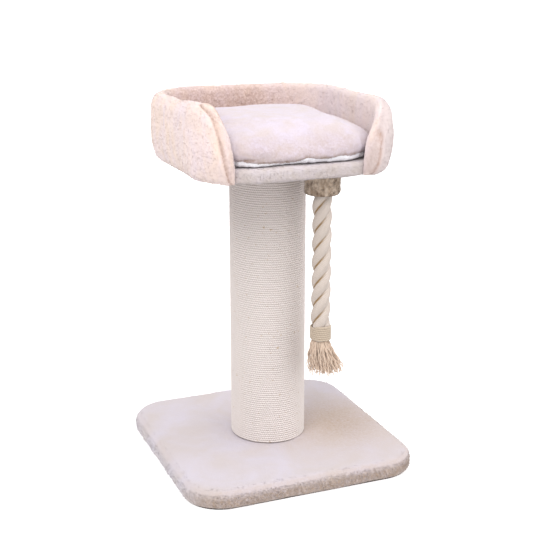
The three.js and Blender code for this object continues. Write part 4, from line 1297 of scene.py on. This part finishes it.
def shapeCushion(piece):
    mesh = piece.data
    points, normals = pointsOf(mesh), normalsOf(mesh)
    height = points[:, 2] - cushion["low"]
    seam = seamHeight(points)
    front = openFront(points)
    forward = front * fade(0.45 + height / 0.006) * fade(0.06 - height, 0.03)
    points[:, 1] -= cushion["frontReach"] * forward
    side = fade(np.hypot(normals[:, 0], normals[:, 1]) * 1.6)
    shift = -cushion["groove"] * bell(height - seam, cushion["grooveWidth"]) * side
    turn = np.arctan2(points[:, 1], points[:, 0])
    gathers = noiseOf(np.cos(turn) * 22, np.sin(turn) * 22, height * 30)
    over = np.maximum(height - seam, 0)
    shift += cushion["gather"] * gathers * side * np.exp(-over / 0.02)
    for layer in cushion["waves"]:
        shift += wavesAt(points, [layer], (9, 2, 4)) * fade(height, 0.03)
    # a small fold where the seam is drawn in at the left front
    fold = bell(points[:, 0] - cushion["foldX"], 0.014)
    fold = fold * bell(height - cushion["foldHeight"], 0.0028) * front
    shift -= cushion["foldDepth"] * fold
    setPoints(mesh, limitCushion(points + normals * shift[:, None]))
    edgeDark = bell(over, 0.004) * side
    shade = cushion["edgeShade"] * edgeDark + cushion["foldShade"] * fold
    shade += cushion["gatherShade"] * fade(-gathers) * edgeDark
    shade += cushion["frontShade"] * (fade(-normals[:, 1]) * front)
    setShares(mesh, "shade", fade(shade))


cushionWhole = makeCushion()
puffUp(cushionWhole, cushion)
print("cushion filled")
subdivide(cushionWhole)
shapeCushion(cushionWhole)


# The cushion parted at its seam into the plush above and the cotton below.
def partCushion(whole):
    points = pointsOf(whole.data)
    faces = [tuple(face.vertices) for face in whole.data.polygons]
    overSeam = points[:, 2] - cushion["low"] - seamHeight(points)
    shade = readShares(whole.data, "shade")
    above = [np.mean([overSeam[i] for i in face]) > 0 for face in faces]
    pieces = []
    for name, wanted, finish in (("cushionPlush", True, "cushionPlush"),
                                 ("cushionLining", False, "cottonLining")):
        kept = [face for face, high in zip(faces, above) if high == wanted]
        used = sorted({i for face in kept for i in face})
        index = {old: new for new, old in enumerate(used)}
        part = meshFrom(name, points[used], [[index[i] for i in face] for face in kept])
        setShares(part, "shade", shade[used])
        pieces.append(newPiece(name, part, finish))
    bpy.data.objects.remove(whole)
    return pieces


cushionPlush, cushionLining = partCushion(cushionWhole)
for part in (cushionPlush, cushionLining):
    shell = part.modifiers.new("thickness", "SOLIDIFY")
    shell.thickness = cushion["thick"]
    shell.offset = -1
    settle(part)
finishPiece(cushionPlush, "cushion", "cushion_top", "cushion_top")
finishPiece(cushionLining, "cushion", "cushion_lining", "cushion_lining")
print("cushion made:", len(cushionPlush.data.polygons), len(cushionLining.data.polygons))

# ---- cap over the rope's hook

cap = {
    "low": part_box("rope_cap_cover")[0].z, "high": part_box("rope_cap_cover")[1].z,
    "outer": 0.035, "inner": 0.0324,
    "lip": 0.0306, "gathers": 17, "depth": 0.0008, "sides": 136, "rounding": 0.010, "skin": 0.001,
    "waves": [(0.014, 0.0012), (0.006, 0.0006)],
}


def capReach(points):
    return np.hypot(points[:, 0] - rope["x"], points[:, 1] - rope["y"])


def outsideCap(points, _=None):
    return np.where(capReach(points) > cap["inner"] + cap["skin"], 1.0, 0.0)


def makeCap():
    low, high, inner, outer, depth = cap["low"], cap["high"], cap["inner"], cap["outer"], cap["depth"]
    angles = circleAngles(cap["sides"])
    rand = noiseOf(np.cos(angles) * 2.2, np.sin(angles) * 2.2, 6)
    fold = np.sin(angles * cap["gathers"] + rand * 5.5) * (0.55 + rand)
    profile = [(inner, high - 0.0004), (outer - 0.0008, high - 0.0004)]
    profile += [(outer, z) for z in np.linspace(high - 0.002, low + cap["rounding"], 10)]
    profile += [(outer - (outer - inner) * (1 - math.cos(angle)),
                 low + cap["rounding"] * (1 - math.sin(angle))) for angle in np.linspace(0.25, math.pi / 2, 6)]
    profile += [(cap["lip"], low + 0.0002), (cap["lip"], low + 0.0012), (inner, low + 0.0022)]
    rings = []
    for radius, z in profile:
        folded = 1.0 if radius > inner + cap["skin"] else 0.0
        bow = math.sin(math.pi * min(1, max(0, (z - low) / (high - low)))) ** 0.5
        reach = radius + folded * (depth * fold * (0.35 + 0.65 * bow) - depth * 0.4)
        rings.append(atHeight(circleAt(rope["x"], rope["y"], reach, angles), z))
    faces = [face[::-1] for face in ringFaces(len(rings), len(angles), True)]
    piece = subdivide(newPiece("plushCap", meshFrom("plushCap", np.concatenate(rings), faces), "capPlush"))
    roughen(piece, cap["waves"], outsideCap)
    points = pointsOf(piece.data)
    setShares(piece.data, "nap", outsideCap(points))
    setShares(piece.data, "shade", fade(outer - 0.0004 - capReach(points), 0.0016))
    return finishPiece(piece, "stand", "rope_cap_cover", "rope_cap_cover")


plushCap = makeCap()
capPile = addNap(plushCap, "capPile", {
    "density": 260000.0, "length": 0.0032, "width": 0.0006, "lean": 60.0, "seed": 25, "finish": "capPlush",
}, "stand", "rope_cap_cover")
print("cap made:", len(plushCap.data.polygons), len(capPile.data.polygons))

# ---- play rope


# Points that the rope follows: nearly straight down, with the small sway of a stiff hanging rope.
def ropePath(count):
    heights = np.linspace(rope["top"], rope["end"], count)
    share = (rope["top"] - heights) / (rope["top"] - rope["end"])
    sway = rope["sway"] * np.sin(share * math.pi * rope["swayHalves"]) * share
    across = ropePlace["bearing"] + math.pi / 2
    flat = np.array([rope["x"], rope["y"]]) + sway[:, None] * np.array([math.cos(across), math.sin(across)])
    return np.column_stack([flat, heights])


whipping = {
    "cord": 0.0048, "swell": 1.0, "reach": 0.01976, "turns": 6.4, "steps": 56, "sides": 14,
    "unevenness": 0.0006, "finish": "whippingCotton", "bite": 0.006,  # how far it grips below its upper end
    "low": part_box("rope_whipping")[0].z, "high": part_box("rope_whipping")[1].z,
}


# Three strands laid to the right, as one closed surface with deep creases between them.
def makeRope():
    path = ropePath(round((rope["top"] - rope["end"]) / rope["step"]))
    reach, strand, third = rope["strandReach"], rope["strandRadius"], 2 * math.pi / 3
    whipTop = whipping["high"] - whipping["bite"]
    angles = circleAngles(rope["sides"])
    local = (angles + third / 2) % third - third / 2
    creased = fade(np.abs(local) - 0.8, 0.2)
    rings, ringVectors, creaseShade = [], [], []
    for x, y, z in path:
        turn = (z - rope["end"]) / rope["lead"] * 2 * math.pi
        radius = reach * np.cos(local) + np.sqrt(strand ** 2 - (reach * np.sin(local)) ** 2)
        squeeze = fade(z - whipTop, rope["rounding"])
        radius = radius * (rope["neck"] + (rope["radius"] - rope["neck"]) * squeeze) / rope["radius"]
        rounded = math.sqrt(1 - (1 - fade(rope["top"] - z, rope["rounding"])) ** 2)
        radius = radius * (rope["topShare"] + (1 - rope["topShare"]) * rounded)
        psi = np.arctan2(radius * np.sin(local), radius * np.cos(local) - reach)
        # yarns stand out a little on each strand
        yarn = np.cos(psi * rope["yarns"] - z / rope["yarnLead"] * 2 * math.pi * rope["yarns"])
        radius = radius + rope["yarnDepth"] * yarn * squeeze
        rings.append(atHeight(circleAt(x, y, radius, angles + turn), z))
        ringVectors.append(atHeight(np.column_stack([np.cos(psi), np.sin(psi)]), z))
        # painted shade in the creases between strands, on the side towards the left front
        creaseShade.append(creased * fade(np.cos(angles + turn - rope["shadedCreaseSide"]) * 1.2 - 0.1))
    mesh = closedMesh("playRope", rings, [path[0], path[-1]], turned=True)
    ringVectors = np.vstack([*ringVectors, (1, 0, 0), (1, 0, 0)]).astype(np.float32)
    mesh.attributes.new("ring", "FLOAT_VECTOR", "POINT").data.foreach_set("vector", ringVectors.ravel())
    setShares(mesh, "shade", np.concatenate(creaseShade + [[0.0, 0.0]]))
    return newPiece("playRope", mesh, "ropeCotton"), path


playRope, ropeRoute = makeRope()
finishPiece(playRope, "rope", "play_rope", "play_rope")
ropeWhipping = finishPiece(windCord("ropeWhipping", whipping, rope["x"], rope["y"]),
                           "rope", "rope_whipping", "rope_whipping")

tassel = {
    "yarns": 320, "yarn": 0.0018, "steps": 20, "length": 0.07, "neck": 0.0165,
    "spread": 0.0355, "wave": 0.006,
    "top": (rope["x"], rope["y"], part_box("rope_tassel")[1].z), "sway": (0.011, -0.0044, 0.0), "seed": 11,
    "finish": "tasselYarn",
}


# Loose yarns that leave the whipping together and spread as they hang.
def makeTasselTree():
    tree, given, out = startGrowth("looseYarns", {
        "Yarns": 100, "Yarn": 0.0025, "Steps": 14, "Neck": 0.016, "Spread": 0.036, "Length": 0.07,
        "Wave": 0.003, "Top": (0.0, 0.0, 0.0), "Sway": (0.0, 0.0, 0.0), "Seed": 1,
    })
    starts = put(tree, "GeometryNodePoints", {"Count": given["Yarns"]})
    for shift, (label, low, high) in enumerate((
            ("bearing", 0.0, 6.2832), ("depth", 0.0, 1.0), ("cut", 0.72, 1.0), ("wave", 0.0, 6.2832),
            ("drift", -1.0, 1.0))):
        starts = store(tree, starts, label, put(tree, "FunctionNodeRandomValue", {
            "Min": low, "Max": high, "ID": put(tree, "GeometryNodeInputIndex"),
            "Seed": plus(tree, given["Seed"], float(shift * 17)),
        }, "Value", data_type="FLOAT"))
    line = put(tree, "GeometryNodeCurvePrimitiveLine", {"Start": (0.0, 0.0, 0.0), "End": (0.0, 0.0, -1.0)})
    line = put(tree, "GeometryNodeResampleCurve", {"Curve": line, "Count": given["Steps"]})
    yarns = put(tree, "GeometryNodeInstanceOnPoints", {"Points": starts, "Instance": line})
    yarns = put(tree, "GeometryNodeRealizeInstances", {"Geometry": yarns})
    share = put(tree, "GeometryNodeSplineParameter", output="Factor")
    curl = calc(tree, "POWER", share, 0.75)
    reach = plus(tree, times(tree, given["Neck"], calc(tree, "SUBTRACT", 1.0, curl)),
                 times(tree, given["Spread"], curl))
    reach = times(tree, reach, calc(tree, "SQRT", stored(tree, "depth")))
    swing = calc(tree, "SINE", plus(tree, stored(tree, "wave"), times(tree, share, 9.0)))
    reach = plus(tree, reach, times(tree, swing, times(tree, share, given["Wave"])))
    heading = plus(tree, stored(tree, "bearing"), times(tree, share, 0.6, stored(tree, "drift")))
    drop = times(tree, share, given["Length"], stored(tree, "cut"), -1.0)
    spot = vectorOf(tree, times(tree, reach, calc(tree, "COSINE", heading)),
                    times(tree, reach, calc(tree, "SINE", heading)), drop)
    spot = vectorCalc(tree, "ADD", spot, scaled(tree, given["Sway"], calc(tree, "POWER", share, 1.6)))
    spot = vectorCalc(tree, "ADD", spot, given["Top"])
    yarns = put(tree, "GeometryNodeSetPosition", {"Geometry": yarns, "Position": spot})
    finishTree(tree, thicken(tree, yarns, given["Yarn"], 7), given, out)
    return tree


ropeTassel = finishPiece(newPiece("ropeTassel", grown("ropeTassel", makeTasselTree(), tassel)),
                         "rope", "rope_tassel", "rope_tassel")
print("rope made:", *[len(piece.data.polygons) for piece in (playRope, ropeWhipping, ropeTassel)])

# ---- finishes of the pieces that stay as they are

numbered = {
    "zinc": (("base_bolt", 3), ("bed_bolt", 3), ("base_washer", 3), ("bed_washer", 3), ("wall_screw", 5)),
    "brassTurned": (("lower_insert", 3), ("upper_insert", 3)),
}
single = {
    "chipboard": ("base_board", "bed_board"), "kraftBoard": ("post_tube",), "hardboard": ("wall_panel",),
    "plugWood": ("post_lower_plug", "post_upper_plug"), "cupPlastic": ("rope_cap_shell",),
    "zinc": ("rope_hook", "rope_link", "rope_eye"),
}
for finish, names in [*single.items(), *[
        (finish, [f"{name}_{i + 1}" for name, count in parts for i in range(count)])
        for finish, parts in numbered.items()]]:
    for name in names:
        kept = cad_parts[name]
        kept.data.materials.clear()
        kept.data.materials.append(finishes[finish])
